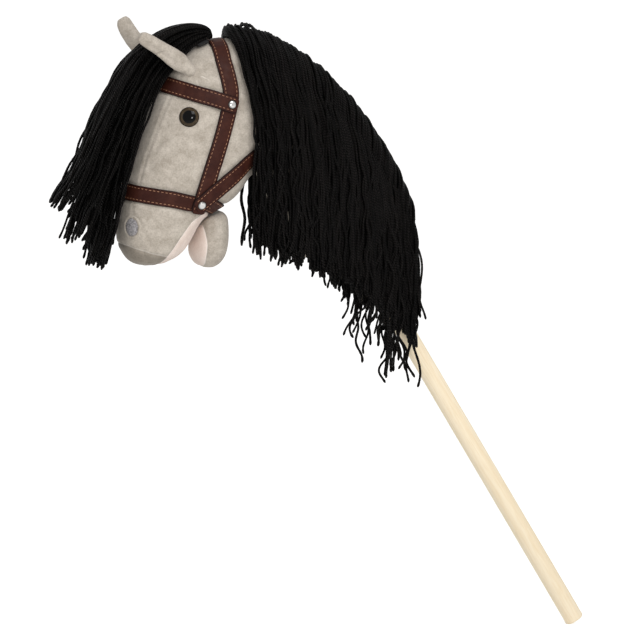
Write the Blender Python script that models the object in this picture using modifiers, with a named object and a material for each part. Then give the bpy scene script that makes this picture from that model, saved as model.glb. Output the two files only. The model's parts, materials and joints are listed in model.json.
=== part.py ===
"""Hobby horse: a stuffed plush horse's head with a yarn mane and a strap bridle on a round wooden stick.

Sizes are in millimetres and are turned to metres where a mesh is made. +Z is up, the horse looks
towards -X, its left side faces -Y, and the origin is the centre of the stick's flat lower end. The stick
leans, as the horse carries its head when it is ridden, so the yarn hangs straight down along -Z.
"""
import bpy
import bmesh
from math import cos, exp, pi, radians, sin
from mathutils import Matrix, Vector
from mathutils.bvhtree import BVHTree

# Shared fits
MM = 0.001
GAP = 0.35                       # air between two pieces that touch
FAR = 260.0                      # from where the horse is looked at, to find its skin
NEAR = 20.0                      # as far, where the place on the skin is nearly known
CUTTER_STAND = 20.0              # how far a hole's cutter stands out of the plush

# Wooden stick
STICK_DIAMETER = 25.0
STICK_LENGTH = 800.0
STICK_LEAN = 31.0                # degrees from upright, leaning back from the head
STICK_CHAMFER = 2.0
STICK_SIDES = 40

# Stuffed head and neck, one skin of sections from the neck's open end round the throat to the nose
# section: centre x, centre z, half depth, turn of its outer end from -X (degrees), half width, lean
# the outer end is the crest, forehead or face; lean above 0 makes the outer end narrower
FORM_SIDES = 14
FORM_LEVELS = 1
FINE_LEVELS = 3                  # the rounder skin that straps and hair are laid on
FORM_SQUARENESS = 2.6
TIP_SQUARENESS = 2.0
NECK_BULGE = 15.0                # how far the filling pushes the end of the neck out
NECK_END = ((0.45, 1.0), (0.84, 0.72))   # shares of the first section's size and of the bulge
NECK_SECTIONS = (
    (-313.0, 520.0, 76.0, 155.0, 53.0, 0.16),
    (-329.0, 552.0, 79.0, 153.0, 56.0, 0.20),
    (-350.0, 595.0, 78.0, 149.0, 55.0, 0.22),
    (-371.0, 631.0, 74.0, 138.0, 53.0, 0.22),
    (-395.0, 660.0, 74.0, 119.0, 51.0, 0.20),
    (-419.0, 679.0, 80.0, 100.0, 50.0, 0.16),
    (-444.0, 689.0, 87.0, 86.0, 51.0, 0.10),
)
HEAD_SECTIONS = (
    (-470.0, 687.0, 94.0, 73.0, 54.0, 0.10),
    (-490.0, 677.0, 94.0, 63.0, 57.0, 0.14),
    (-507.0, 657.0, 89.0, 52.0, 60.0, 0.18),
    (-519.0, 634.0, 82.0, 42.0, 61.0, 0.20),
    (-531.0, 606.0, 75.0, 30.0, 59.0, 0.20),
    (-546.0, 580.0, 68.0, 18.0, 55.0, 0.14),
    (-565.0, 554.0, 55.0, 8.0, 50.0, 0.06),
    (-572.0, 527.0, 51.0, 6.0, 48.0, 0.04),
    (-576.0, 504.0, 43.0, 5.0, 42.0, 0.0),
    (-580.0, 489.0, 28.0, 2.0, 29.0, 0.0),
)
NOSE_TIP = (-585.0, 483.0, 12.0, 0.0, 13.0, 0.0)

# Seam where the head panels meet the neck panels, as a point and a lean from upright
SEAM_X = -452.0
SEAM_Z = 690.0
SEAM_LEAN = 7.5
SEAM_BLOCK = 600.0

# Round panel that closes the neck's lower end, with the hole for the stick
BASE_PANEL_DROP = 5.0            # from the neck's first section down to the panel's seam

# Stuffed lower jaw, sections from its root under the cheek to the chin
JAW_SIDES = 12
JAW_SQUARENESS = 2.3
JAW_SECTIONS = (
    (-493.0, 556.0, 19.0, 0.0, 34.0, 0.0),
    (-495.0, 536.0, 21.5, 2.0, 38.0, 0.0),
    (-496.0, 521.0, 23.5, 4.0, 39.0, 0.0),
    (-499.0, 506.0, 25.0, 3.0, 38.0, 0.0),
    (-501.0, 493.0, 24.0, 2.0, 34.0, 0.0),
    (-500.5, 482.0, 15.5, 0.0, 24.0, 0.0),
)
JAW_TIP = (-499.0, 477.5, 7.0, 0.0, 11.0, 0.0)

# Sewn panels of other cloth, let into the plush flush with it
PANEL_DEPTH = 2.0
LIP_SEAM = ((-660.0, 530.0), (-627.0, 517.0), (-606.0, 510.0), (-585.0, 503.0), (-564.0, 498.0))
LINING_SEAM = ((-514.0, 556.0), (-534.0, 543.0), (-549.0, 523.0), (-564.0, 498.0), (-580.0, 470.0),
               (-590.0, 440.0))
JAW_SEAM = ((-514.0, 560.0), (-514.0, 545.0), (-512.0, 530.0), (-510.0, 512.0), (-511.0, 495.0),
            (-508.0, 470.0))
PANEL_REACH = 120.0              # half the depth of the outlines' cutters
# corners outside the plush that close the outlines
BEFORE_NOSE = (-680.0, 440.0)
BELOW_THROAT = (-480.0, 440.0)
BEHIND_MOUTH = (-480.0, 540.0)
BEFORE_CHIN = (-560.0, 470.0)
BEFORE_JAW_ROOT = (-560.0, 560.0)
LIP_OUTLINE = LIP_SEAM + LINING_SEAM[4:] + (BEFORE_NOSE,)
LINING_OUTLINE = LINING_SEAM + (BELOW_THROAT, BEHIND_MOUTH)
MUZZLE_OUTLINE = LIP_SEAM[:-1] + LINING_SEAM[3::-1] + (BEHIND_MOUTH, BELOW_THROAT, BEFORE_NOSE)
JAW_OUTLINE = JAW_SEAM + (BEFORE_CHIN, BEFORE_JAW_ROOT)

# Nostril patches
NOSTRIL_X = -617.0
NOSTRIL_Y = 36.0
NOSTRIL_Z = 538.0
NOSTRIL_RADIUS_LONG = 11.5
NOSTRIL_RADIUS_SHORT = 10.0
NOSTRIL_THICKNESS = 1.4
NOSTRIL_REST = 0.6
NOSTRIL_TURN = 40.0              # degrees that the patch faces forwards from the side
NOSTRIL_SIDES = 20
NOSTRIL_RINGS = ((0.15, 0.0), (1.0, 0.0), (1.0, 0.6), (0.82, 1.0), (0.15, 1.1))

# Ears
EAR_LEFT_ROOT_X = -534.0
EAR_RIGHT_ROOT_X = -540.0        # sewn on a little further forward
EAR_ROOT_Z = 738.0
EAR_LENGTH = 89.0
EAR_SIDES = 16
EAR_BALL_RADIUS = 9.0
EAR_BALL_RINGS = (14.0, 36.0, 58.0, 78.0)
EAR_STAND = 3.0                  # how far the centre of the ear's round base stands off the plush
EAR_CLEARANCE = 0.6
EAR_HOLLOW_SIDES = 24
EAR_HOLLOW_RINGS = 14
# degrees that an ear splays outwards, then rises above level at its root and at its tip
EAR_LEFT = (10.0, 38.0, 29.0)    # has flopped forwards
EAR_RIGHT = (24.0, 24.0, 71.0)   # curls up
# share of the length, half width, half thickness
EAR_SECTIONS = (
    (0.07, 9.0, 8.0),
    (0.19, 12.0, 7.4),
    (0.34, 11.9, 7.2),
    (0.50, 10.3, 7.0),
    (0.66, 9.5, 6.8),
    (0.81, 9.2, 6.6),
    (0.92, 8.3, 5.8),
    (0.98, 5.4, 4.0),
)
EAR_FOLD_DEPTH = 0.42            # share of the ear's thickness that the rolled fold goes in
EAR_FOLD_WIDTH = 0.50            # radians
EAR_FOLD_ANGLE = radians(-35.0)
EAR_FOLD_START = 0.15
EAR_FOLD_EASE = 0.20
EAR_FOLD_END = 0.12

# Safety eyes
EYE_X = -540.0
EYE_Z = 680.0
EYE_RADIUS = 12.9
EYE_DOME = 6.5
EYE_SIDES = 20
EYE_RIM = 1.2
EYE_SEAT = 1.0                   # how deep the eye's back is pressed into the plush
EYE_SHANK_RADIUS = 2.5
EYE_SHANK_LENGTH = 12.0
WASHER_RADIUS = 8.5
WASHER_THICKNESS = 1.6
WASHER_DEPTH = 7.0               # from the plush to the washer's outer face

# Bridle straps
STRAP_WIDTH = 21.5
STRAP_THICKNESS = 2.0
STRAP_REACH = 80.0               # how far outside the plush a strap is brought from
STRAP_REST = 1.0                 # air under a strap that lies on the pile of the plush
STRAP_LAP = 0.7                  # air between straps that cross
STRAP_PITCH = 10.5               # length of a strap's flat facets
STRAP_COLUMNS = 4                 # points across a strap
STRAP_EASE = 5                   # facets in which a strap comes down from one that it crosses
STRAP_EASE_STEP = 0.9
STRAP_TAPER = (0.62, 0.93)       # rounded ends, as shares of the width
BROW_TAPER = (0.86,)
CROWN_PATH = ((-530.0, 553.0), (-520.5, 586.0), (-508.0, 625.0), (-493.5, 668.0), (-484.0, 704.0),
              (-486.0, 728.0), (-490.0, 750.0))
CROWN_CENTRE = (-490.0, 752.0)
BROW_PATH = ((-474.0, 691.0), (-484.5, 694.5), (-508.0, 702.5), (-532.0, 710.0))
BROW_CENTRE = (-546.0, 714.5)
BROW_ANGLE = 162.5               # way round the front, in the mid plane, degrees above +X
NOSE_PATH = ((-515.0, 563.0), (-527.0, 566.0), (-545.0, 570.0))
NOSE_CENTRE = (-560.0, 574.0)
NOSE_ANGLE = 171.0
CHIN_CENTRE = (-518.0, 568.0)
CHIN_ANGLE = -26.0
REIN_PATH = ((-534.5, 562.5), (-526.0, 568.5), (-503.0, 587.5), (-470.0, 611.0), (-435.0, 633.5),
             (-405.0, 652.0))
REIN_CENTRE = (-388.0, 661.0)
REIN_ANGLE = 36.0

# Rivets
RIVET_CAP_RADIUS = 5.6
RIVET_CAP_HEIGHT = 2.4
RIVET_SHANK_RADIUS = 1.8
RIVET_TAIL_RADIUS = 4.2
RIVET_TAIL_THICKNESS = 0.8
RIVET_TAIL_TOP = STRAP_REST - 2.0 * GAP
RIVET_CAP_EDGE = 0.5
RIVET_SIDES = 12
BROW_RIVET = (-484.5, 694.5)
CHEEK_RIVET = (-526.0, 568.5)

# Yarn mane: locks that hang from a tape along the crest
TAPE_WIDTH = 16.0
TAPE_THICKNESS = 2.6
TAPE_COLUMNS = 3
CREST = ((-474.0, 783.0), (-424.0, 771.0), (-388.0, 752.0), (-352.0, 724.0), (-322.0, 692.0),
         (-291.0, 652.0), (-264.0, 606.0), (-243.0, 556.0))
CREST_DEPTH = 40.0               # how far below the crest the tape is aimed at
MANE_LOCKS = 8
MANE_LENGTH = 276.0              # drop of the front lock, behind the crown strap
MANE_LENGTH_END = 240.0
MANE_RAGGED = 13.0
MANE_ROOT_THICKNESS = 13.0
MANE_THICKNESS = 11.0
MANE_CLEARANCE = 4.4             # from the plush to the yarn, room for a strap between them
MANE_STRAP_CLEARANCE = 1.0       # from a strap to the yarn
# how far the front lock leans back as it falls round the cheek: the right side's is swept further back
MANE_DRIFT_LEFT = 24.0
MANE_DRIFT_RIGHT = 52.0
MANE_DRIFT_END = 18.0
MANE_DRIFT_FALL = 0.55           # share of its fall in which a lock drifts
MANE_ARCH = 34.0                 # drop in which the yarn turns from the tape to hang down
MANE_ARCH_REACH = 30.0
LOCK_SPACE = 1.6                 # air between neighbouring locks
LOCK_ROOT_GAP = 0.6              # from the mid plane to a lock's root
LOCK_COLUMNS = 4
LOCK_ROWS = 10
LOCK_LOOK_AHEAD = 0.6            # rows by which a lock moves out before it meets what is below
LOCK_GROW = 0.3                  # share of its fall in which a lock comes to its full thickness
LOCK_FADE = 0.2                  # share of its fall in which it thins again
LOCK_TIP = 0.28                  # thickness left at the tip
FALL_STEPS = 60

# Yarn forelock: layers of locks from a tape on the poll, forwards between the ears and down before the face
FORELOCK_ROOT_X = -503.5
FORELOCK_ROOT_Z = 780.0
FORELOCK_TAPE_LENGTH = 13.0
FORELOCK_TAPE_WIDTH = 34.0
FORELOCK_TAPE_COLUMNS = 6
FORELOCK_DEPTH = 30.0            # how far below the poll the tape is aimed at
FORELOCK_DROOP = 7.0             # how far back the layers curve at their sides
FORELOCK_LAYERS = (
    ((-503.0, 782.0), (-521.0, 776.0), (-544.0, 760.0), (-567.0, 738.0), (-588.0, 706.0), (-608.0, 660.0),
     (-624.0, 610.0), (-637.0, 560.0), (-649.0, 512.0), (-655.0, 490.0)),
    ((-503.0, 787.0), (-523.0, 783.0), (-549.0, 770.0), (-579.0, 744.0), (-604.0, 706.0), (-627.0, 656.0),
     (-649.0, 602.0), (-669.0, 556.0), (-684.0, 518.0)),
    ((-503.0, 792.0), (-526.0, 791.0), (-558.0, 782.0), (-594.0, 757.0), (-624.0, 716.0), (-649.0, 665.0),
     (-669.0, 618.0), (-688.0, 587.0), (-705.0, 563.0)),
)
FORELOCK_HALF_WIDTHS = (12.0, 14.0, 17.0, 24.0, 32.0, 38.0, 40.0, 38.0, 34.0)
FORELOCK_COLUMNS = 4
FORELOCK_THICKNESS_ROOT = 4.2
FORELOCK_THICKNESS = 11.0
FORELOCK_EDGE = 0.5              # thickness left at a layer's side
FORELOCK_GROW = 0.35
FORELOCK_FADE = 0.2
FORELOCK_TIP = 0.4


def clear_scene():
    for item in list(bpy.data.objects):
        bpy.data.objects.remove(item, do_unlink=True)


def make_collection(name):
    collection = bpy.data.collections.new(name)
    bpy.context.scene.collection.children.link(collection)
    return collection


def make_material(name, colour, roughness, metallic=0.0):
    material = bpy.data.materials.new(name)
    material.use_nodes = True
    shader = material.node_tree.nodes["Principled BSDF"]
    shader.inputs["Base Color"].default_value = (*colour, 1.0)
    shader.inputs["Roughness"].default_value = roughness
    shader.inputs["Metallic"].default_value = metallic
    material.diffuse_color = (*colour, 1.0)
    return material


clear_scene()
PARTS = make_collection("hobby_horse")
CUTTERS = make_collection("cutters")

COLOURS = {
    "wood": ((0.90, 0.77, 0.54), 0.55, 0.0),
    "plush": ((0.48, 0.43, 0.37), 0.95, 0.0),
    "plush_dark": ((0.38, 0.34, 0.29), 0.95, 0.0),
    "lining": ((0.80, 0.69, 0.63), 0.95, 0.0),
    "nostril": ((0.19, 0.18, 0.18), 0.95, 0.0),
    "eye": ((0.02, 0.012, 0.008), 0.08, 0.0),
    "nylon": ((0.80, 0.80, 0.78), 0.5, 0.0),
    "strap": ((0.06, 0.022, 0.018), 0.5, 0.0),
    "steel": ((0.75, 0.74, 0.72), 0.18, 1.0),
    "tape": ((0.02, 0.02, 0.02), 0.9, 0.0),
    "yarn": ((0.006, 0.005, 0.005), 0.8, 0.0),
}


def add_object(name, mesh, colour=None):
    item = bpy.data.objects.new(name, mesh)
    if colour is None:
        CUTTERS.objects.link(item)
        item.hide_render = True
        item.display_type = "WIRE"
        return item
    PARTS.objects.link(item)
    mesh.materials.clear()
    mesh.materials.append(make_material(name, *COLOURS[colour]))
    return item


def mesh_from_bmesh(name, shape):
    bmesh.ops.recalc_face_normals(shape, faces=shape.faces)
    mesh = bpy.data.meshes.new(name)
    shape.to_mesh(mesh)
    shape.free()
    mesh.shade_smooth()
    return mesh


def loft(name, rings):
    """Skin a list of closed rings, each with as many points, and cap both ends."""
    shape = bmesh.new()
    rows = [[shape.verts.new(Vector(point) * MM) for point in ring] for ring in rings]
    count = len(rings[0])
    for row, following in zip(rows, rows[1:]):
        for i in range(count):
            j = (i + 1) % count
            shape.faces.new((row[i], row[j], following[j], following[i]))
    shape.faces.new(rows[0])
    shape.faces.new(rows[-1][::-1])
    return mesh_from_bmesh(name, shape)


def evaluated_mesh(item):
    bpy.context.view_layer.update()
    graph = bpy.context.evaluated_depsgraph_get()
    return bpy.data.meshes.new_from_object(item.evaluated_get(graph), depsgraph=graph)


def swelled(item, amount, name):
    """A cutter: the item's surface moved out by amount along its normals."""
    mesh = evaluated_mesh(item)
    copy = add_object(name, mesh)
    copy.matrix_world = item.matrix_world
    if amount:
        displace = copy.modifiers.new("swell", "DISPLACE")
        displace.strength = amount * MM
        displace.mid_level = 0.0
    return copy


def cut(item, cutter, operation="DIFFERENCE"):
    modifier = item.modifiers.new(cutter.name, "BOOLEAN")
    modifier.operation = operation
    modifier.solver = "EXACT"
    modifier.object = cutter


def signed_power(value, exponent):
    return (abs(value) ** exponent) * (1.0 if value >= 0.0 else -1.0)


def section_ring(section, sides, squareness):
    """Ring of a stuffed form: a rounded box across the mid plane, with its outer end first.

    The ring is drawn a little large, because subdividing pulls it in.
    """
    x, z, depth, turn, width, lean = section
    outer = Vector((-cos(radians(turn)), 0.0, sin(radians(turn))))
    swell = 3.0 / (2.0 + cos(2.0 * pi / sides))
    ring = []
    for i in range(sides):
        angle = 2.0 * pi * i / sides
        along = swell * signed_power(cos(angle), 2.0 / squareness)
        across = swell * signed_power(sin(angle), 2.0 / squareness) * (1.0 - lean * cos(angle))
        ring.append(Vector((x, 0.0, z)) + outer * (depth * along) + Vector((0.0, width * across, 0.0)))
    return ring


def stuffed_form(name, rings, levels=FORM_LEVELS):
    item = add_object(name, loft(name, rings))
    subdivision = item.modifiers.new("filling", "SUBSURF")
    subdivision.levels = levels
    subdivision.render_levels = levels
    return item


def stick_point(distance):
    """Point on the stick's axis, at a distance from its lower end."""
    lean = radians(STICK_LEAN)
    return Vector((-sin(lean) * distance, 0.0, cos(lean) * distance))


STICK_AXIS = stick_point(1.0)


def prism(name, outline, half_depth, margin=0.0):
    """A cutter: an outline in the mid plane, drawn out to both sides."""
    curve = bpy.data.curves.new(name, "CURVE")
    curve.dimensions = "2D"
    curve.fill_mode = "BOTH"
    curve.extrude = half_depth * MM
    spline = curve.splines.new("POLY")
    spline.points.add(len(outline) - 1)
    for point, (x, z) in zip(spline.points, outline):
        point.co = (x * MM, z * MM, 0.0, 1.0)
    spline.use_cyclic_u = True
    curve_item = bpy.data.objects.new(name, curve)
    CUTTERS.objects.link(curve_item)
    curve_item.rotation_euler = (radians(90.0), 0.0, 0.0)
    mesh = evaluated_mesh(curve_item)
    mesh.transform(curve_item.matrix_world)
    bpy.data.objects.remove(curve_item)
    shape = bmesh.new()
    shape.from_mesh(mesh)
    bmesh.ops.remove_doubles(shape, verts=shape.verts, dist=0.00001)
    bmesh.ops.recalc_face_normals(shape, faces=shape.faces)
    shape.to_mesh(mesh)
    shape.free()
    item = add_object(name, mesh)
    if margin:
        displace = item.modifiers.new("margin", "DISPLACE")
        displace.strength = margin * MM
        displace.mid_level = 0.0
    return item


def turned(name, profile, sides, colour=None):
    """Turn a profile of (radius, height) points about Z, top to bottom. It may end at its first point."""
    mesh = bpy.data.meshes.new(name)
    points = [(radius * MM, 0.0, height * MM) for radius, height in profile]
    edges = [(i, i + 1) for i in range(len(points) - 1)]
    if points[0] == points[-1]:
        points.pop()
        edges[-1] = (len(points) - 1, 0)
    mesh.from_pydata(points, edges, [])
    item = add_object(name, mesh, colour)
    screw = item.modifiers.new("turn", "SCREW")
    screw.axis = "Z"
    screw.steps = sides
    screw.render_steps = sides
    screw.use_merge_vertices = True
    screw.merge_threshold = 0.00001
    screw.use_smooth_shade = True
    return item


def place_on(item, point, normal, roll=0.0):
    """Stand an item with its +Z along a normal, at a point in millimetres."""
    turn = normal.to_track_quat("Z", "Y").to_matrix().to_4x4()
    item.matrix_world = Matrix.Translation(point * MM) @ turn @ Matrix.Rotation(roll, 4, "Z")


def smooth_path(points, steps):
    """Catmull-Rom points through a list of tuples, steps to each span."""
    rows = [Vector(point) for point in points]
    rows = [rows[0] * 2 - rows[1]] + rows + [rows[-1] * 2 - rows[-2]]
    path = []
    for a, b, c, d in zip(rows, rows[1:], rows[2:], rows[3:]):
        for i in range(steps):
            t = i / steps
            path.append(0.5 * ((2 * b) + (c - a) * t + (2 * a - 5 * b + 4 * c - d) * t * t
                               + (3 * b - a - 3 * c + d) * t ** 3))
    path.append(rows[-2].copy())
    return path


# The skin of head and neck, from which both are cut
def neck_end_rings():
    """The filled end of the neck bulges out round the stick."""
    x, z, depth, turn, width, lean = NECK_SECTIONS[0]
    rings = []
    for share, bulge in NECK_END:
        place = Vector((x, 0.0, z)) - STICK_AXIS * (NECK_BULGE * bulge)
        rings.append(section_ring((place.x, place.z, depth * share, turn, width * share, lean),
                                  FORM_SIDES, FORM_SQUARENESS))
    return rings


def horse_rings():
    rings = neck_end_rings()
    for section in NECK_SECTIONS + HEAD_SECTIONS:
        rings.append(section_ring(section, FORM_SIDES, FORM_SQUARENESS))
    rings.append(section_ring(NOSE_TIP, FORM_SIDES, TIP_SQUARENESS))
    return rings


FORM = stuffed_form("horse_form", horse_rings())
FORM_OUT = swelled(FORM, GAP, "horse_form_clear")
FORM_IN = swelled(FORM, -PANEL_DEPTH, "horse_form_in")
FORM_IN_DEEP = swelled(FORM, -PANEL_DEPTH - GAP, "horse_form_in_deep")


def surface_of(item):
    mesh = evaluated_mesh(item)
    shape = bmesh.new()
    shape.from_mesh(mesh)
    tree = BVHTree.FromBMesh(shape)
    shape.free()
    return tree


FORM_SURFACE = surface_of(stuffed_form("horse_form_fine", horse_rings(), FINE_LEVELS))


def surface_point(target, direction, reach=FAR):
    """Where a line from outside, against direction, meets the plush: point and normal in millimetres."""
    origin = (Vector(target) + direction * reach) * MM
    point, normal, _, _ = FORM_SURFACE.ray_cast(origin, -direction)
    if point is None:
        return None, None
    return point / MM, normal


def half_space(name, x, z, lean, front):
    """A cutter: a big block on one side of a plane that leans from upright."""
    shape = bmesh.new()
    bmesh.ops.create_cube(shape, size=1.0)
    mesh = mesh_from_bmesh(name, shape)
    item = add_object(name, mesh)
    size = SEAM_BLOCK * MM
    side = -0.5 if front else 0.5
    turn = Matrix.Rotation(radians(lean), 4, "Y")
    item.matrix_world = (Matrix.Translation(Vector((x, 0.0, z)) * MM) @ turn
                         @ Matrix.Translation((side * size, 0.0, 0.0))
                         @ Matrix.Diagonal((size, size, size, 1.0)))
    return item


FRONT_BLOCK = half_space("front_of_seam", SEAM_X - GAP / 2, SEAM_Z, -SEAM_LEAN, True)
BACK_BLOCK = half_space("back_of_seam", SEAM_X + GAP / 2, SEAM_Z, -SEAM_LEAN, False)


def below_neck(name, gap):
    """A cutter: all that lies below the seam of the neck's base panel, moved down by a gap."""
    place = Vector((NECK_SECTIONS[0][0], 0.0, NECK_SECTIONS[0][1])) - STICK_AXIS * (BASE_PANEL_DROP + gap)
    return half_space(name, place.x, place.z, 90.0 - STICK_LEAN, False)


def from_form(name, colour, form=FORM):
    return add_object(name, evaluated_mesh(form), colour)


# Wooden stick
def make_stick():
    bpy.ops.mesh.primitive_cylinder_add(vertices=STICK_SIDES, radius=STICK_DIAMETER / 2 * MM,
                                        depth=STICK_LENGTH * MM)
    item = bpy.context.active_object
    for collection in item.users_collection:
        collection.objects.unlink(item)
    PARTS.objects.link(item)
    item.name = "stick"
    item.data.materials.append(make_material("stick", *COLOURS["wood"]))
    place_on(item, stick_point(STICK_LENGTH / 2), STICK_AXIS)
    bevel = item.modifiers.new("chamfer", "BEVEL")
    bevel.width = STICK_CHAMFER * MM
    bevel.segments = 1
    bevel.limit_method = "ANGLE"
    item.data.shade_smooth()
    item.data.set_sharp_from_angle(angle=radians(40.0))
    return item


def make_stick_socket():
    """The hole that the stick fills, from below the neck to just past the stick's upper end."""
    shape = bmesh.new()
    radius = (STICK_DIAMETER / 2 + GAP) * MM
    bmesh.ops.create_cone(shape, cap_ends=True, segments=STICK_SIDES, radius1=radius, radius2=radius,
                          depth=(STICK_LENGTH / 2 + GAP) * MM)
    item = add_object("stick_socket", mesh_from_bmesh("stick_socket", shape))
    place_on(item, stick_point(STICK_LENGTH * 0.75 + GAP / 2), STICK_AXIS)
    return item


make_stick()
SOCKET = make_stick_socket()

# Sewn panels
def sewn_panel(name, colour, outline, form, form_in):
    """A thin panel of other cloth, cut from a stuffed form's skin along an outline seen from the side."""
    panel = from_form(name, colour, form)
    cut(panel, prism(name + "_area", outline, PANEL_REACH, -GAP / 2), "INTERSECT")
    cut(panel, form_in)
    return panel


def sink_panels(body, outline, form_in_deep):
    """Lower a stuffed body by the depth of the panels that lie in an outline."""
    recess = prism(body.name + "_recess", outline, PANEL_REACH, GAP / 2)
    cut(recess, form_in_deep)
    cut(body, recess)


def make_body():
    head = from_form("head", "plush")
    cut(head, FRONT_BLOCK, "INTERSECT")
    sink_panels(head, MUZZLE_OUTLINE, FORM_IN_DEEP)
    neck = from_form("neck", "plush")
    cut(neck, BACK_BLOCK, "INTERSECT")
    recess = below_neck("neck_base_recess", -GAP / 2)
    cut(recess, FORM_IN_DEEP)
    cut(neck, recess)
    cut(neck, SOCKET)
    base = from_form("neck_base_panel", "plush")
    cut(base, below_neck("neck_base_area", GAP / 2), "INTERSECT")
    cut(base, FORM_IN)
    cut(base, SOCKET)
    return head


HEAD = make_body()
sewn_panel("upper_lip", "plush_dark", LIP_OUTLINE, FORM, FORM_IN)
sewn_panel("upper_mouth_lining", "lining", LINING_OUTLINE, FORM, FORM_IN)


# Lower jaw
def make_jaw():
    rings = [section_ring(section, JAW_SIDES, JAW_SQUARENESS) for section in JAW_SECTIONS]
    rings.append(section_ring(JAW_TIP, JAW_SIDES, TIP_SQUARENESS))
    form = stuffed_form("jaw_form", rings)
    form_in = swelled(form, -PANEL_DEPTH, "jaw_form_in")
    form_in_deep = swelled(form, -PANEL_DEPTH - GAP, "jaw_form_in_deep")
    room = swelled(NOSEBAND, GAP, "noseband_room")
    jaw = from_form("lower_jaw", "plush", form)
    sink_panels(jaw, JAW_OUTLINE, form_in_deep)
    cut(jaw, FORM_OUT)
    cut(jaw, room)
    panel = sewn_panel("lower_mouth_lining", "lining", JAW_OUTLINE, form, form_in)
    cut(panel, FORM_OUT)
    cut(panel, room)


# Straps and tapes that lie on the plush and on each other
LAID = []                        # surfaces of the straps laid so far


def laid_height(point, normal):
    """How high the topmost strap stands over a point of the plush."""
    origin = (point + normal * NEAR) * MM
    best = None
    for tree in LAID:
        hit, _, _, distance = tree.ray_cast(origin, -normal, NEAR * MM)
        if hit is not None:
            height = NEAR - distance / MM
            best = height if best is None else max(best, height)
    return best


def strap_rests(rows, closed):
    """Height of a strap's underside at each row: on the plush, or on the straps that it crosses."""
    needs = []
    for row in rows:
        heights = [laid_height(point, normal) for point, normal in row]
        heights = [height + STRAP_LAP for height in heights if height is not None]
        needs.append(max(heights) if heights else STRAP_REST)
    count = len(needs)
    rests = []
    for i in range(count):
        rest = STRAP_REST
        for j in range(-STRAP_EASE, STRAP_EASE + 1):
            k = i + j
            if closed:
                k %= count
            if 0 <= k < count:
                rest = max(rest, needs[k] - max(0, abs(j) - 1) * STRAP_EASE_STEP)
        rests.append(rest)
    return rests


def even_path(path, closed):
    """Points and normals on the plush under a path of (target, direction) pairs, at an even pitch."""
    rough = [surface_point(target, direction, STRAP_REACH) for target, direction in path]
    if closed:
        rough.append(rough[0])
    lengths = [(b[0] - a[0]).length for a, b in zip(rough, rough[1:])]
    steps = max(3, round(sum(lengths) / STRAP_PITCH))
    pitch = sum(lengths) / steps
    middle = []
    span = 0
    passed = 0.0
    for i in range(steps if closed else steps + 1):
        while span < len(lengths) - 1 and passed + lengths[span] < pitch * i:
            passed += lengths[span]
            span += 1
        share = min(1.0, (pitch * i - passed) / lengths[span])
        point = rough[span][0].lerp(rough[span + 1][0], share)
        normal = rough[span][1].lerp(rough[span + 1][1], share).normalized()
        middle.append(surface_point(point, normal, NEAR))
    return middle


def lay_strap(name, colour, path, width, thickness, closed=False, ends=(), across=STRAP_COLUMNS):
    """A strap along a path of (target, direction) pairs, pressed on the plush from outside."""
    middle = even_path(path, closed)
    rows = []
    count = len(middle)
    for i, (point, normal) in enumerate(middle):
        before = middle[i - 1][0] if closed or i else point
        after = middle[(i + 1) % count][0] if closed or i < count - 1 else point
        side = normal.cross(after - before).normalized()
        half = width / 2 * (ends[min(i, count - 1 - i)] if min(i, count - 1 - i) < len(ends) else 1.0)
        row = []
        for k in range(across):
            share = 2.0 * k / (across - 1) - 1.0
            row.append(surface_point(point + side * (half * share), normal, NEAR))
        rows.append(row)
    rests = strap_rests(rows, closed)
    rings = []
    for row, rest in zip(rows, rests):
        inner = [point + normal * rest for point, normal in row]
        outer = [point + normal * (rest + thickness) for point, normal in row]
        rings.append(inner + outer[::-1])
    mesh = ring_loop(name, rings) if closed else loft(name, rings)
    mesh.set_sharp_from_angle(angle=radians(40.0))
    item = add_object(name, mesh, colour)
    LAID.append(surface_of(item))
    return item


def ring_loop(name, rings):
    """Skin a closed run of rings, with no caps."""
    shape = bmesh.new()
    rows = [[shape.verts.new(point * MM) for point in ring] for ring in rings]
    count = len(rings[0])
    for row, following in zip(rows, rows[1:] + rows[:1]):
        for i in range(count):
            j = (i + 1) % count
            shape.faces.new((row[i], row[j], following[j], following[i]))
    return mesh_from_bmesh(name, shape)


LEFT = Vector((0.0, -1.0, 0.0))
RIGHT = Vector((0.0, 1.0, 0.0))


def side_run(points, side, steps=3):
    """Path down one side: each target is in the mid plane, seen straight from that side."""
    run = smooth_path([(x, 0.0, z) for x, z in points], steps)
    return [(point, side) for point in run]


def over_run(centre, outward, count):
    """Path over a ridge, from the left side round outward to the right side, ends left out."""
    target = Vector((centre[0], 0.0, centre[1]))
    run = []
    for i in range(count + 1):
        angle = pi * i / count
        run.append((target, LEFT * cos(angle) + outward * sin(angle)))
    return run


def in_plane(angle):
    """Direction in the mid plane, degrees above +X."""
    return Vector((cos(radians(angle)), 0.0, sin(radians(angle))))


def both_sides(points, centre, outward, count=14):
    """Path up the left side, over the ridge and down the right side."""
    left = side_run(points, LEFT)
    right = [(target, RIGHT) for target, _ in reversed(left)]
    return left + over_run(centre, outward, count) + right


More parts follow.
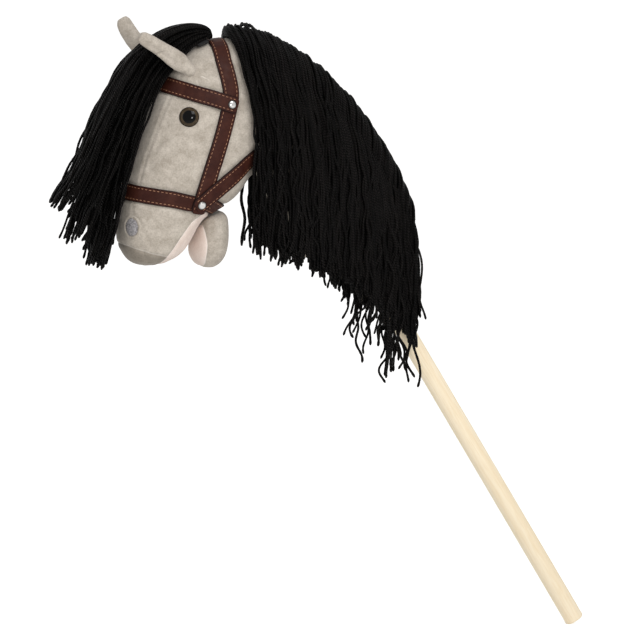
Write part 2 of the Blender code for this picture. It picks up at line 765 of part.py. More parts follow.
def make_bridle():
    front = side_run(NOSE_PATH, LEFT)
    loop = (front + over_run(NOSE_CENTRE, in_plane(NOSE_ANGLE), 14)
            + [(target, RIGHT) for target, _ in reversed(front)]
            + list(reversed(over_run(CHIN_CENTRE, in_plane(CHIN_ANGLE), 10))))
    noseband = lay_strap("noseband", "strap", loop, STRAP_WIDTH, STRAP_THICKNESS, closed=True)
    crown = lay_strap("crown_strap", "strap", both_sides(CROWN_PATH, CROWN_CENTRE, in_plane(90.0)),
                      STRAP_WIDTH, STRAP_THICKNESS, ends=STRAP_TAPER)
    brow = lay_strap("browband", "strap", both_sides(BROW_PATH, BROW_CENTRE, in_plane(BROW_ANGLE)),
                     STRAP_WIDTH, STRAP_THICKNESS, ends=BROW_TAPER)
    rein = lay_strap("rein", "strap", both_sides(REIN_PATH, REIN_CENTRE, in_plane(REIN_ANGLE), 16),
                     STRAP_WIDTH, STRAP_THICKNESS, ends=STRAP_TAPER)
    lay_strap("mane_tape", "tape", crest_path(), TAPE_WIDTH, TAPE_THICKNESS, across=TAPE_COLUMNS)
    lay_strap("forelock_tape", "tape", poll_path(), FORELOCK_TAPE_WIDTH, TAPE_THICKNESS,
              across=FORELOCK_TAPE_COLUMNS)
    return noseband, crown, brow, rein


def crest_path():
    """Targets inside the neck below the crest, pressed on from outside."""
    points = smooth_path([(x, 0.0, z) for x, z in CREST], 3)
    path = []
    for i, point in enumerate(points):
        along = points[min(i + 1, len(points) - 1)] - points[max(i - 1, 0)]
        outward = Vector((-along.z, 0.0, along.x)).normalized()
        path.append((point - outward * CREST_DEPTH, outward))
    return path


def poll_path():
    """The short tape on the poll, just before the crown strap."""
    path = []
    for i in range(4):
        x = FORELOCK_ROOT_X - FORELOCK_TAPE_LENGTH * i / 3
        path.append((Vector((x, 0.0, FORELOCK_ROOT_Z - FORELOCK_DEPTH)), in_plane(90.0)))
    return path


NOSEBAND, CROWN, BROWBAND, REIN = make_bridle()
make_jaw()


# Rivets through the straps
def rivet_profile(top):
    low = RIVET_TAIL_TOP
    base = top + GAP
    profile = [(0.0, base + RIVET_CAP_HEIGHT)]
    for i in range(1, 5):
        angle = radians(90.0 - 22.5 * i)
        profile.append((RIVET_CAP_RADIUS * cos(angle),
                        base + RIVET_CAP_EDGE + (RIVET_CAP_HEIGHT - RIVET_CAP_EDGE) * sin(angle)))
    profile += [(RIVET_CAP_RADIUS, base), (RIVET_SHANK_RADIUS, base), (RIVET_SHANK_RADIUS, low),
                (RIVET_TAIL_RADIUS, low), (RIVET_TAIL_RADIUS, low - RIVET_TAIL_THICKNESS),
                (0.0, low - RIVET_TAIL_THICKNESS)]
    return profile


def make_rivet(name, place, side, straps):
    point, normal = surface_point((place[0], 0.0, place[1]), side)
    rivet = turned(name, rivet_profile(laid_height(point, normal)), RIVET_SIDES, "steel")
    place_on(rivet, point, normal)
    radius = RIVET_SHANK_RADIUS + GAP
    hole = turned(name + "_hole", [(0.0, CUTTER_STAND), (radius, CUTTER_STAND), (radius, -STRAP_REST),
                                   (0.0, -STRAP_REST)], RIVET_SIDES)
    place_on(hole, point, normal)
    for strap in straps:
        cut(strap, hole)
    depth = RIVET_TAIL_TOP - RIVET_TAIL_THICKNESS - GAP
    radius = RIVET_TAIL_RADIUS + GAP
    seat = turned(name + "_seat", [(0.0, CUTTER_STAND), (radius, CUTTER_STAND), (radius, depth),
                                   (0.0, depth)], RIVET_SIDES)
    place_on(seat, point, normal)
    cut(HEAD, seat)


for word, direction in (("left", LEFT), ("right", RIGHT)):
    make_rivet("brow_rivet_" + word, BROW_RIVET, direction, (CROWN, BROWBAND))
    make_rivet("cheek_rivet_" + word, CHEEK_RIVET, direction, (NOSEBAND, CROWN, REIN))


# Safety eyes: a domed eye on a shank, held by a washer inside the filling
def make_eye(word, side):
    point, normal = surface_point((EYE_X, 0.0, EYE_Z), side)
    profile = []
    for i in range(6):
        angle = radians(90.0 - 18.0 * i)
        profile.append((EYE_RADIUS * cos(angle), EYE_RIM + (EYE_DOME - EYE_RIM) * sin(angle)))
    profile += [(EYE_RADIUS, -EYE_SEAT), (EYE_SHANK_RADIUS, -EYE_SEAT),
                (EYE_SHANK_RADIUS, -EYE_SHANK_LENGTH), (0.0, -EYE_SHANK_LENGTH)]
    place_on(turned("eye_" + word, profile, EYE_SIDES, "eye"), point, normal)
    low = -WASHER_DEPTH - WASHER_THICKNESS
    inner = EYE_SHANK_RADIUS + GAP
    washer = [(inner, -WASHER_DEPTH), (WASHER_RADIUS, -WASHER_DEPTH), (WASHER_RADIUS, low), (inner, low),
              (inner, -WASHER_DEPTH)]
    place_on(turned("eye_washer_" + word, washer, EYE_SIDES, "nylon"), point, normal)
    outer = WASHER_RADIUS + GAP
    pocket = turned("eye_pocket_" + word, [
        (0.0, CUTTER_STAND), (EYE_RADIUS + GAP, CUTTER_STAND), (EYE_RADIUS + GAP, -EYE_SEAT - GAP),
        (inner, -EYE_SEAT - GAP),
        (inner, GAP - WASHER_DEPTH), (outer, GAP - WASHER_DEPTH), (outer, low - GAP), (inner, low - GAP),
        (inner, -EYE_SHANK_LENGTH - GAP), (0.0, -EYE_SHANK_LENGTH - GAP)], EYE_SIDES)
    place_on(pocket, point, normal)
    cut(HEAD, pocket)


# Nostril patches, sewn on the muzzle
def make_nostril(word, side):
    turn = radians(NOSTRIL_TURN)
    direction = side * cos(turn) - Vector((sin(turn), 0.0, 0.0))
    target = Vector((NOSTRIL_X, 0.0, NOSTRIL_Z)) + side * NOSTRIL_Y
    point, normal = surface_point(target, direction)
    upward = (Vector((0.0, 0.0, 1.0)) - normal * normal.z).normalized()
    sideways = normal.cross(upward)
    rings = []
    for share, height in NOSTRIL_RINGS:
        ring = []
        for i in range(NOSTRIL_SIDES):
            angle = 2.0 * pi * i / NOSTRIL_SIDES
            place = (point + sideways * (NOSTRIL_RADIUS_SHORT * share * cos(angle))
                     + upward * (NOSTRIL_RADIUS_LONG * share * sin(angle)))
            place, slope = surface_point(place, normal, NEAR)
            ring.append(place + slope * (NOSTRIL_REST + NOSTRIL_THICKNESS * height))
        rings.append(ring)
    add_object("nostril_patch_" + word, loft("nostril_patch_" + word, rings), "nostril")


for word, direction in (("left", LEFT), ("right", RIGHT)):
    make_eye(word, direction)
    make_nostril(word, direction)


# Ears: folded leaves on round bases that turn in hollows of the head
def ear_axes(side, splay, rise):
    """An ear's directions where it rises so far above level: along it, across it and through it."""
    forward = Vector((-cos(radians(rise)), 0.0, sin(radians(rise))))
    along = forward * cos(radians(splay)) + side * sin(radians(splay))
    thick = (side - along * side.dot(along)).normalized()
    wide = along.cross(thick)
    return along, (wide if wide.z > 0.0 else -wide), thick


def ear_ring(place, half_width, half_thickness, fold, wide, thick):
    """A section of the ear, dented along its outer side where the leaf is rolled in."""
    ring = []
    for i in range(EAR_SIDES):
        angle = 2.0 * pi * i / EAR_SIDES
        away = (angle - EAR_FOLD_ANGLE + pi) % (2.0 * pi) - pi
        dent = 1.0 - fold * exp(-(away / EAR_FOLD_WIDTH) ** 2)
        ring.append(place + wide * (half_width * sin(angle) * dent)
                    + thick * (half_thickness * cos(angle) * dent))
    return ring


def ear_rings(side, splay, root_rise, tip_rise):
    """The ear's round base, then its leaf along a line that bends from the root's rise to the tip's."""
    along, wide, thick = ear_axes(side, splay, root_rise)
    rings = []
    for degree in EAR_BALL_RINGS:
        reach = EAR_BALL_RADIUS * sin(radians(degree))
        place = along * (-EAR_BALL_RADIUS * cos(radians(degree)))
        rings.append(ear_ring(place, reach, reach, 0.0, wide, thick))
    place = Vector((0.0, 0.0, 0.0))
    passed = 0.0
    for share, half_width, half_thickness in EAR_SECTIONS:
        rise = root_rise + (tip_rise - root_rise) * (share + passed) / 2.0
        along, wide, thick = ear_axes(side, splay, rise)
        place = place + along * (EAR_LENGTH * (share - passed))
        passed = share
        start = min(1.0, max(0.0, (share - EAR_FOLD_START) / EAR_FOLD_EASE))
        fold = EAR_FOLD_DEPTH * start * min(1.0, (1.0 - share) / EAR_FOLD_END)
        rings.append(ear_ring(place, half_width, half_thickness, fold, wide, thick))
    return rings


def make_ear(word, side, root_x, bend):
    point, normal = surface_point((root_x, 0.0, EAR_ROOT_Z), side)
    centre = point + normal * EAR_STAND
    ear = add_object("ear_" + word, loft("ear_" + word, ear_rings(side, *bend)), "plush")
    ear.location = centre * MM
    shape = bmesh.new()
    radius = (EAR_BALL_RADIUS + EAR_CLEARANCE) * MM
    bmesh.ops.create_uvsphere(shape, u_segments=EAR_HOLLOW_SIDES, v_segments=EAR_HOLLOW_RINGS, radius=radius)
    hollow = add_object("ear_hollow_" + word, mesh_from_bmesh("ear_hollow_" + word, shape))
    hollow.location = centre * MM
    cut(HEAD, hollow)
    print("ear", word, "turns about", [round(value, 2) for value in centre])


make_ear("left", LEFT, EAR_LEFT_ROOT_X, EAR_LEFT)
make_ear("right", RIGHT, EAR_RIGHT_ROOT_X, EAR_RIGHT)


# Yarn mane
def outermost(x, z, side):
    """How far the plush and the straps reach to one side at a place seen from that side, or nothing."""
    origin = (Vector((x, 0.0, z)) + side * FAR) * MM
    best = 0.0
    for tree in [FORM_SURFACE] + LAID:
        hit, _, _, _ = tree.ray_cast(origin, -side, FAR * MM)
        if hit is not None:
            room = MANE_CLEARANCE if tree is FORM_SURFACE else MANE_STRAP_CLEARANCE
            best = max(best, abs(hit.y) / MM + room)
    return best


CREST_POINTS = smooth_path([(x, 0.0, z) for x, z in CREST], 12)


def crest_at(share):
    """Point of the crest and the way out of it, by share of its length."""
    place = share * (len(CREST_POINTS) - 1)
    i = min(int(place), len(CREST_POINTS) - 2)
    point = CREST_POINTS[i].lerp(CREST_POINTS[i + 1], place - i)
    along = (CREST_POINTS[i + 1] - CREST_POINTS[i]).normalized()
    outward = Vector((-along.z, 0.0, along.x))
    hit, _ = surface_point(point - outward * CREST_DEPTH, outward, STRAP_REACH)
    return hit, outward, along, (laid_height(hit, outward) or STRAP_REST) + MANE_STRAP_CLEARANCE


def lock_reach(x_at, top, length, side):
    """How far out the yarn hangs, at fine steps of its fall: never back in below what it has passed."""
    reaches = []
    reach = LOCK_ROOT_GAP
    for i in range(FALL_STEPS + 1):
        fall = length * i / FALL_STEPS
        arch = min(1.0, fall / MANE_ARCH)
        reach = max(reach, MANE_ARCH_REACH * (1.0 - (1.0 - arch) ** 2) ** 0.5)
        reach = max(reach, outermost(x_at(fall), top.z - fall, side))
        reaches.append(reach)
    return reaches


def fallen(rows):
    """Share of the fall at a row: the rows stand close together where the yarn turns over at the top."""
    t = min(1.0, rows / LOCK_ROWS)
    return t * t * (0.35 + 0.65 * t)


def lock_thickness(t):
    grow = min(1.0, t / LOCK_GROW)
    fade = 1.0 - max(0.0, t + LOCK_FADE - 1.0) / LOCK_FADE * (1.0 - LOCK_TIP)
    return (MANE_ROOT_THICKNESS + (MANE_THICKNESS - MANE_ROOT_THICKNESS) * grow) * fade


def lock_column(share, side, length, shift):
    """A line of yarn: from the tape, over and down one side, hanging clear of all that it passes."""
    root, outward, along, height = crest_at(share)
    top = root + outward * height + along * shift
    front_drift = MANE_DRIFT_LEFT if side == LEFT else MANE_DRIFT_RIGHT
    drift = MANE_DRIFT_END + (front_drift - MANE_DRIFT_END) * (1.0 - share) ** 2

    def x_at(fall):
        ease = min(1.0, fall / (MANE_DRIFT_FALL * length))
        return top.x + drift * ease * (2.0 - ease)

    reaches = lock_reach(x_at, top, length, side)
    column = []
    for i in range(LOCK_ROWS + 1):
        fall = length * fallen(i)
        reach = reaches[round(fallen(i + LOCK_LOOK_AHEAD) * FALL_STEPS)] if i else reaches[0]
        tilt = pi / 2.0 * max(0.0, 1.0 - fall / MANE_ARCH)
        inner = Vector((x_at(fall), 0.0, top.z - fall)) + side * reach
        out = side * cos(tilt) + outward * sin(tilt)
        column.append((inner, inner + out * lock_thickness(i / LOCK_ROWS)))
    return column


def make_lock(name, start, end, side, phase):
    columns = []
    last = LOCK_COLUMNS - 1
    for k in range(LOCK_COLUMNS):
        share = start + (end - start) * k / last
        shift = LOCK_SPACE * (0.5 if k == 0 else -0.5 if k == last else 0.0)
        ragged = 0.0 if k in (0, last) else MANE_RAGGED * (0.4 + 0.6 * sin(5.0 * phase + 2.0 * k))
        length = MANE_LENGTH + (MANE_LENGTH_END - MANE_LENGTH) * share - MANE_RAGGED / 2 + ragged
        columns.append(lock_column(share, side, length, shift))
    rings = []
    for i in range(LOCK_ROWS + 1):
        inner = [column[i][0] for column in columns]
        outer = [column[i][1] for column in columns]
        rings.append(inner + outer[::-1])
    return add_object(name, loft(name, rings), "yarn")


def make_mane():
    for word, side in (("left", LEFT), ("right", RIGHT)):
        for i in range(MANE_LOCKS):
            make_lock("mane_lock_%s_%d" % (word, i + 1), i / MANE_LOCKS, (i + 1) / MANE_LOCKS, side, i)


make_mane()


# Yarn forelock
def forelock_half_width(t):
    place = t * (len(FORELOCK_HALF_WIDTHS) - 1)
    j = min(int(place), len(FORELOCK_HALF_WIDTHS) - 2)
    return FORELOCK_HALF_WIDTHS[j] + (FORELOCK_HALF_WIDTHS[j + 1] - FORELOCK_HALF_WIDTHS[j]) * (place - j)


def forelock_ring(points, i, side):
    """A section of half a layer, from the mid plane out to one side."""
    last = len(points) - 1
    t = i / last
    along = (points[min(i + 1, last)] - points[max(i - 1, 0)]).normalized()
    outward = Vector((along.z, 0.0, -along.x))
    grow = min(1.0, t / FORELOCK_GROW)
    fade = 1.0 - max(0.0, t + FORELOCK_FADE - 1.0) / FORELOCK_FADE * (1.0 - FORELOCK_TIP)
    thickness = (FORELOCK_THICKNESS_ROOT + (FORELOCK_THICKNESS - FORELOCK_THICKNESS_ROOT) * grow) * fade
    inner = []
    outer = []
    for k in range(FORELOCK_COLUMNS):
        share = k / (FORELOCK_COLUMNS - 1)
        across = side * (LOCK_ROOT_GAP + (forelock_half_width(t) - LOCK_ROOT_GAP) * share)
        place = points[i] + across - outward * (FORELOCK_DROOP * share * share * grow)
        half = thickness / 2 * (1.0 - (1.0 - FORELOCK_EDGE) * share ** 3)
        inner.append(place - outward * half)
        outer.append(place + outward * half)
    return inner + outer[::-1]


def make_forelock():
    for layer, curve in enumerate(FORELOCK_LAYERS):
        points = [Vector((x, 0.0, z)) for x, z in curve]
        for word, side in (("left", LEFT), ("right", RIGHT)):
            name = "forelock_%s_%d" % (word, layer + 1)
            rings = [forelock_ring(points, i, side) for i in range(len(points))]
            add_object(name, loft(name, rings), "yarn")


make_forelock()
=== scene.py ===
import json
from contextlib import contextmanager
from math import atan2, cos, pi, radians, sin

import bmesh
import bpy
import numpy as np
from mathutils import Matrix, Vector
from mathutils.bvhtree import BVHTree


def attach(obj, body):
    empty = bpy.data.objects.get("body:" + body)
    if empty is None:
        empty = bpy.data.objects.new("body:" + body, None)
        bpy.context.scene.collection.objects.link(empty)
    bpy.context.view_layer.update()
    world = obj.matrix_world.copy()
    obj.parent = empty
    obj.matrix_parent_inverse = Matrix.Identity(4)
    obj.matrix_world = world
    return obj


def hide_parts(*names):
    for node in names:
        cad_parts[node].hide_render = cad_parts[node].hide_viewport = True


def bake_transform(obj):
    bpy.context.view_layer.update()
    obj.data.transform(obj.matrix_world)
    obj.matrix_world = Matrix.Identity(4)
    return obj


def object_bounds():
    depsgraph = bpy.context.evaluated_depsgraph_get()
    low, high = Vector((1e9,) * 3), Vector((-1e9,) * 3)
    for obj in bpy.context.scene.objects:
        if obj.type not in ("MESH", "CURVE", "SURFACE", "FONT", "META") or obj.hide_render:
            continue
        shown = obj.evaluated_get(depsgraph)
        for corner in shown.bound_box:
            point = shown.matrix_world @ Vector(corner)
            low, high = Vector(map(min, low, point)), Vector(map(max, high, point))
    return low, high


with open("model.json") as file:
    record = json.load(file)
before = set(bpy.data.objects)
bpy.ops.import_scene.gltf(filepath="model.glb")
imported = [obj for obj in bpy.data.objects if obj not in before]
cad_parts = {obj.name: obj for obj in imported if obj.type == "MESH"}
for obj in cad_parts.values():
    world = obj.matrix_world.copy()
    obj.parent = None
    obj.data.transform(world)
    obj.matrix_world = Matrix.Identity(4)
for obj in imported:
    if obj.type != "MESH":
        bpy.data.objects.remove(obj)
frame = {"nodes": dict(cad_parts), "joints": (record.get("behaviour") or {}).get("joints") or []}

mm = 0.001
cadLow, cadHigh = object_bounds()
dice = np.random.default_rng(31)      # every random draw comes from here, in the order of this script
toSide = {"left": Vector((0, -1, 0)), "right": Vector((0, 1, 0))}
bpy.ops.object.select_all(action="DESELECT")


# Small helpers
def fromHex(text):
    shares = [int(text[i:i + 2], 16) / 255 for i in (0, 2, 4)]
    return [s / 12.92 if s <= 0.04045 else ((s + 0.055) / 1.055) ** 2.4 for s in shares] + [1.0]


def addNode(tree, kind, inputs, **settings):
    # inputs may be sockets, numbers or colours as hex texts
    node = tree.nodes.new(kind)
    for key, value in settings.items():
        setattr(node, key, value)
    for key, value in inputs.items():
        if isinstance(value, bpy.types.NodeSocket):
            tree.links.new(value, node.inputs[key])
        else:
            node.inputs[key].default_value = fromHex(value) if isinstance(value, str) else value
    return node.outputs


def unit(rows):
    return rows / np.maximum(np.linalg.norm(rows, axis=-1, keepdims=True), 1e-12)


def pick(item):
    bpy.ops.object.select_all(action="DESELECT")
    item.select_set(True)
    bpy.context.view_layer.objects.active = item


def applyModifier(item, kind, **settings):
    pick(item)
    modifier = item.modifiers.new(kind.lower(), kind)
    for key, value in settings.items():
        setattr(modifier, key, value)
    bpy.ops.object.modifier_apply(modifier=modifier.name)


def addPiece(name, mesh, *materials):
    item = bpy.data.objects.new(name, mesh)
    bpy.context.scene.collection.objects.link(item)
    for material in materials:
        mesh.materials.append(material)
    return item


def settle(item, body, slot, *nodes):
    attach(item, body)
    if nodes:
        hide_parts(*nodes)


def pointsOf(mesh):
    flat = np.empty(len(mesh.vertices) * 3, np.float32)
    mesh.vertices.foreach_get("co", flat)
    return flat.reshape(-1, 3).astype(float)


def normalsOf(mesh):
    flat = np.empty(len(mesh.vertices) * 3, np.float32)
    mesh.vertex_normals.foreach_get("vector", flat)
    return flat.reshape(-1, 3).astype(float)


def movePoints(mesh, points):
    mesh.vertices.foreach_set("co", points.astype(np.float32).ravel())
    mesh.update()


def addAttribute(mesh, name, numbers):
    attribute = mesh.attributes.new(name, "FLOAT", "POINT")
    attribute.data.foreach_set("value", np.asarray(numbers, np.float32))


def meshFrom(name, points, quads):
    mesh = bpy.data.meshes.new(name)
    mesh.vertices.add(len(points))
    mesh.vertices.foreach_set("co", np.asarray(points, np.float32).ravel())
    mesh.loops.add(quads.size)
    mesh.loops.foreach_set("vertex_index", quads.astype(np.int32).ravel())
    mesh.polygons.add(len(quads))
    mesh.polygons.foreach_set("loop_start", np.arange(len(quads), dtype=np.int32) * 4)
    mesh.update(calc_edges=True)
    mesh.shade_smooth()
    return mesh


@contextmanager
def editing(mesh):
    # the mesh's points and faces, to change one by one
    shape = bmesh.new()
    shape.from_mesh(mesh)
    yield shape
    shape.to_mesh(mesh)
    shape.free()


def treeOf(item):
    shape = bmesh.new()
    shape.from_mesh(item.data)
    tree = BVHTree.FromBMesh(shape)
    shape.free()
    return tree


def smoothLine(rows, steps):
    # a line that bends smoothly through given points
    rows = np.asarray(rows, float)
    rows = np.vstack([rows[0] * 2 - rows[1], rows, rows[-1] * 2 - rows[-2]])
    line = []
    for a, b, c, d in zip(rows, rows[1:], rows[2:], rows[3:]):
        for t in np.arange(steps) / steps:
            line.append(0.5 * (2 * b + (c - a) * t + (2 * a - 5 * b + 4 * c - d) * t ** 2
                               + (3 * b - a - 3 * c + d) * t ** 3))
    line.append(rows[-2])
    return np.array(line)


def lengthsOf(line):
    # how far along a line each of its points is
    return np.concatenate([[0.0], np.cumsum(np.linalg.norm(np.diff(line, axis=0), axis=1))])


def lineAt(places, lengths, line):
    return np.stack([np.interp(places, lengths, line[:, k]) for k in range(3)], axis=-1)


def evenly(line, pitch):
    # the same line with points at an even pitch
    lengths = lengthsOf(line)
    count = max(2, int(round(lengths[-1] / pitch)) + 1)
    return lineAt(np.linspace(0.0, lengths[-1], count), lengths, line)


def toSegment(points, a, b):
    # each point's share of the way from a to b, and its offset from there
    along = b - a
    share = np.clip(((points - a) @ along) / (along @ along), 0.0, 1.0)
    return share, points - (a + share[:, None] * along)


def mirrored(points):
    # all points brought to the side where y is above 0
    return points * (1.0, 0.0, 1.0) + np.abs(points) * (0.0, 1.0, 0.0)


def ringQuads(index):
    # faces between rows of points that each close into a ring
    beside = np.roll(index, -1, axis=1)
    return np.stack([index[:-1], beside[:-1], beside[1:], index[1:]], axis=-1).reshape(-1, 4)


# Camera: a long lens from the horse's front left, a little above it
camera = {
    "azimuth": -18.0,              # degrees round from the horse's left side, towards its face
    "elevation": 7.0,
    "distance": 30.0,              # metres, far enough that sizes hardly change with depth
    "viewWidth": 0.8256,           # metres across the view at the horse
    "target": (-0.3454, 0.0054, 0.4037),
    "sensor": 36.0,
}


def awayFrom(azimuth, elevation):
    a, e = radians(azimuth), radians(elevation)
    return Vector((sin(a) * cos(e), -cos(a) * cos(e), sin(e)))


def makeCamera():
    data = bpy.data.cameras.new("camera")
    item = bpy.data.objects.new("camera", data)
    bpy.context.scene.collection.objects.link(item)
    back = awayFrom(camera["azimuth"], camera["elevation"])
    data.sensor_width = camera["sensor"]
    data.lens = camera["sensor"] * camera["distance"] / camera["viewWidth"]
    data.clip_end = 4 * camera["distance"]
    item.location = Vector(camera["target"]) + back * camera["distance"]
    item.rotation_euler = (-back).to_track_quat("-Z", "Y").to_euler()
    bpy.context.scene.camera = item


makeCamera()
print("camera placed")


# Materials
def startMaterial(name, values):
    material = bpy.data.materials.new(name)
    material.use_nodes = True
    tree = material.node_tree
    shader = tree.nodes["Principled BSDF"]
    for key, value in values.items():
        shader.inputs[key].default_value = value
    place = addNode(tree, "ShaderNodeTexCoord", {})["Object"]
    return material, tree, shader, place


def feed(tree, shader, inputs):
    for key, socket in inputs.items():
        tree.links.new(socket, shader.inputs[key])


def scaleOf(size):
    # a pattern's scale from its size in mm
    return 1.0 / (size * mm)


def tinted(tree, colour, *layers):
    # lays tints over a colour, each from least to most as its mask goes from start to end
    for mask, start, end, least, most, tint in layers:
        share = addNode(tree, "ShaderNodeMapRange", {0: mask, 1: start, 2: end, 3: least, 4: most})[0]
        colour = addNode(tree, "ShaderNodeMix", {0: share, 6: colour, 7: tint}, data_type="RGBA")[2]
    return colour


plushLooks = {                     # brushed nap catches the light in patches, and seams show as paler lines
    "plush": {"base": "BCB2A6", "light": "D2C9BD", "dark": "9B9184", "seam": "DCD5CB"},
    "plushDark": {"base": "90877B", "light": "A2998D", "dark": "7D7468", "seam": "BFB8AE"},
    "lining": {"base": "E7D6CB", "light": "EFE1D8", "dark": "DAC7BB", "seam": "F2E7E0"},
    "patch": 15.0,                 # mm between nap patches
    "pile": 2.0,                   # real pile is 0.5 mm, drawn coarser so that it shows
    "clump": 5.0,
    "seamHalfWidth": 1.1,          # mm
}


def makePlush(name, look):
    # short-pile polyester velour: matt, soft to the eye, with a faint sheen at grazing angles
    values = {"Roughness": 0.92, "Sheen Weight": 0.22, "Sheen Roughness": 0.45, "Specular IOR Level": 0.25}
    material, tree, shader, place = startMaterial(name, values)
    noise = {}
    for key, detail, rough in (("patch", 5.0, 0.68), ("pile", 3.0, 0.65), ("clump", 2.0, 0.5)):
        noise[key] = addNode(tree, "ShaderNodeTexNoise", {"Vector": place, "Scale": scaleOf(plushLooks[key]),
                                                          "Detail": detail, "Roughness": rough})[0]
    seam = addNode(tree, "ShaderNodeAttribute", {}, attribute_name="seam")["Fac"]
    colour = tinted(tree, look["dark"], (noise["patch"], 0.34, 0.66, 0.0, 1.0, look["light"]))
    colour = addNode(tree, "ShaderNodeMix", {0: 0.6, 6: look["base"], 7: colour}, data_type="RGBA")[2]
    colour = tinted(tree, colour,
                    (noise["pile"], 0.30, 0.52, 0.55, 0.0, look["dark"]),
                    (noise["pile"], 0.52, 0.74, 0.0, 0.45, look["light"]),
                    (seam, plushLooks["seamHalfWidth"], 0.2, 0.0, 0.85, look["seam"]))
    soft = addNode(tree, "ShaderNodeBump", {"Height": noise["clump"], "Strength": 0.35,
                                            "Distance": 0.9 * mm})[0]
    fine = addNode(tree, "ShaderNodeBump", {"Height": noise["pile"], "Strength": 0.5, "Distance": 0.5 * mm,
                                            "Normal": soft})[0]
    feed(tree, shader, {"Base Color": colour, "Normal": fine})
    return material


fleeceLook = {"dark": "6C696B", "light": "B2AEB0", "loop": 2.4}      # mm between its knitted loops


def makeFleece():
    # mottled grey knitted fleece of the nostrils
    values = {"Roughness": 0.95, "Sheen Weight": 0.2}
    material, tree, shader, place = startMaterial("nostrilFleece", values)
    loops = addNode(tree, "ShaderNodeTexNoise", {"Vector": place, "Scale": scaleOf(fleeceLook["loop"]),
                                                 "Detail": 3.0, "Roughness": 0.7})[0]
    colour = tinted(tree, fleeceLook["dark"], (loops, 0.36, 0.64, 0.0, 1.0, fleeceLook["light"]))
    bump = addNode(tree, "ShaderNodeBump", {"Height": loops, "Strength": 0.8, "Distance": 0.8 * mm})[0]
    feed(tree, shader, {"Base Color": colour, "Normal": bump})
    return material


strapLook = {
    "middle": "341711",
    "worn": "46251C",
    # dark of the painted edge, also used for the painted shade in the grain's creases
    "edge": "1A0C0A",
    "edgeWidth": 1.6,              # mm of darker painted edge
    "grain": 1.3,                  # mm between the folds of the embossed grain
    "wornPatch": 18.0,
    "shinePatch": 6.0,
}


def makeLeatherette():
    # imitation leather: embossed, half matt, with a painted edge and painted shade in the creases of its
    # grain
    values = {"Roughness": 0.5, "Specular IOR Level": 0.11}
    material, tree, shader, place = startMaterial("leatherette", values)
    grain = addNode(tree, "ShaderNodeTexVoronoi", {"Vector": place, "Scale": scaleOf(strapLook["grain"])},
                    feature="DISTANCE_TO_EDGE")["Distance"]
    worn = addNode(tree, "ShaderNodeTexNoise", {"Vector": place, "Scale": scaleOf(strapLook["wornPatch"]),
                                                "Detail": 4.0, "Roughness": 0.6})[0]
    edge = addNode(tree, "ShaderNodeAttribute", {}, attribute_name="edge")["Fac"]
    colour = tinted(tree, strapLook["middle"],
                    (worn, 0.38, 0.7, 0.0, 1.0, strapLook["worn"]),
                    # painted shade: darker in the creases between the grain's raised cells
                    (grain, 0.0, 0.12, 0.35, 0.0, strapLook["edge"]),
                    (edge, strapLook["edgeWidth"], 0.5, 0.0, 1.0, strapLook["edge"]))
    shine = addNode(tree, "ShaderNodeTexNoise", {"Vector": place,
                                                 "Scale": scaleOf(strapLook["shinePatch"])})[0]
    rough = addNode(tree, "ShaderNodeMapRange", {0: shine, 1: 0.3, 2: 0.7, 3: 0.42, 4: 0.6})[0]
    bump = addNode(tree, "ShaderNodeBump", {"Height": grain, "Strength": 0.4, "Distance": 0.25 * mm})[0]
    feed(tree, shader, {"Base Color": colour, "Roughness": rough, "Normal": bump})
    return material


threadLook = {"dark": "9A6A4C", "light": "BC8B69", "twist": 0.8}      # mm between its twists


def makeThread():
    # waxed sewing thread, light tan
    material, tree, shader, place = startMaterial("tanThread", {"Roughness": 0.6})
    twist = addNode(tree, "ShaderNodeTexNoise", {"Vector": place, "Scale": scaleOf(threadLook["twist"])})[0]
    colour = tinted(tree, threadLook["dark"], (twist, 0.35, 0.65, 0.0, 1.0, threadLook["light"]))
    bump = addNode(tree, "ShaderNodeBump", {"Height": twist, "Strength": 0.4, "Distance": 0.2 * mm})[0]
    feed(tree, shader, {"Base Color": colour, "Normal": bump})
    return material


yarnLook = {
    "grooveShade": "000000",
    "ply": "030303",
    "brightSheen": "1E1B1A",
    # painted highlights: bright flecks where fibres would catch the light
    "sheenFleck": "544F4C",
    "lay": 7.0,                    # mm in which the two plies go once round
    "fuzzAndSheenSpacing": 0.8,                  # mm between the painted highlight flecks, and the size of the fibre fuzz bumps
}


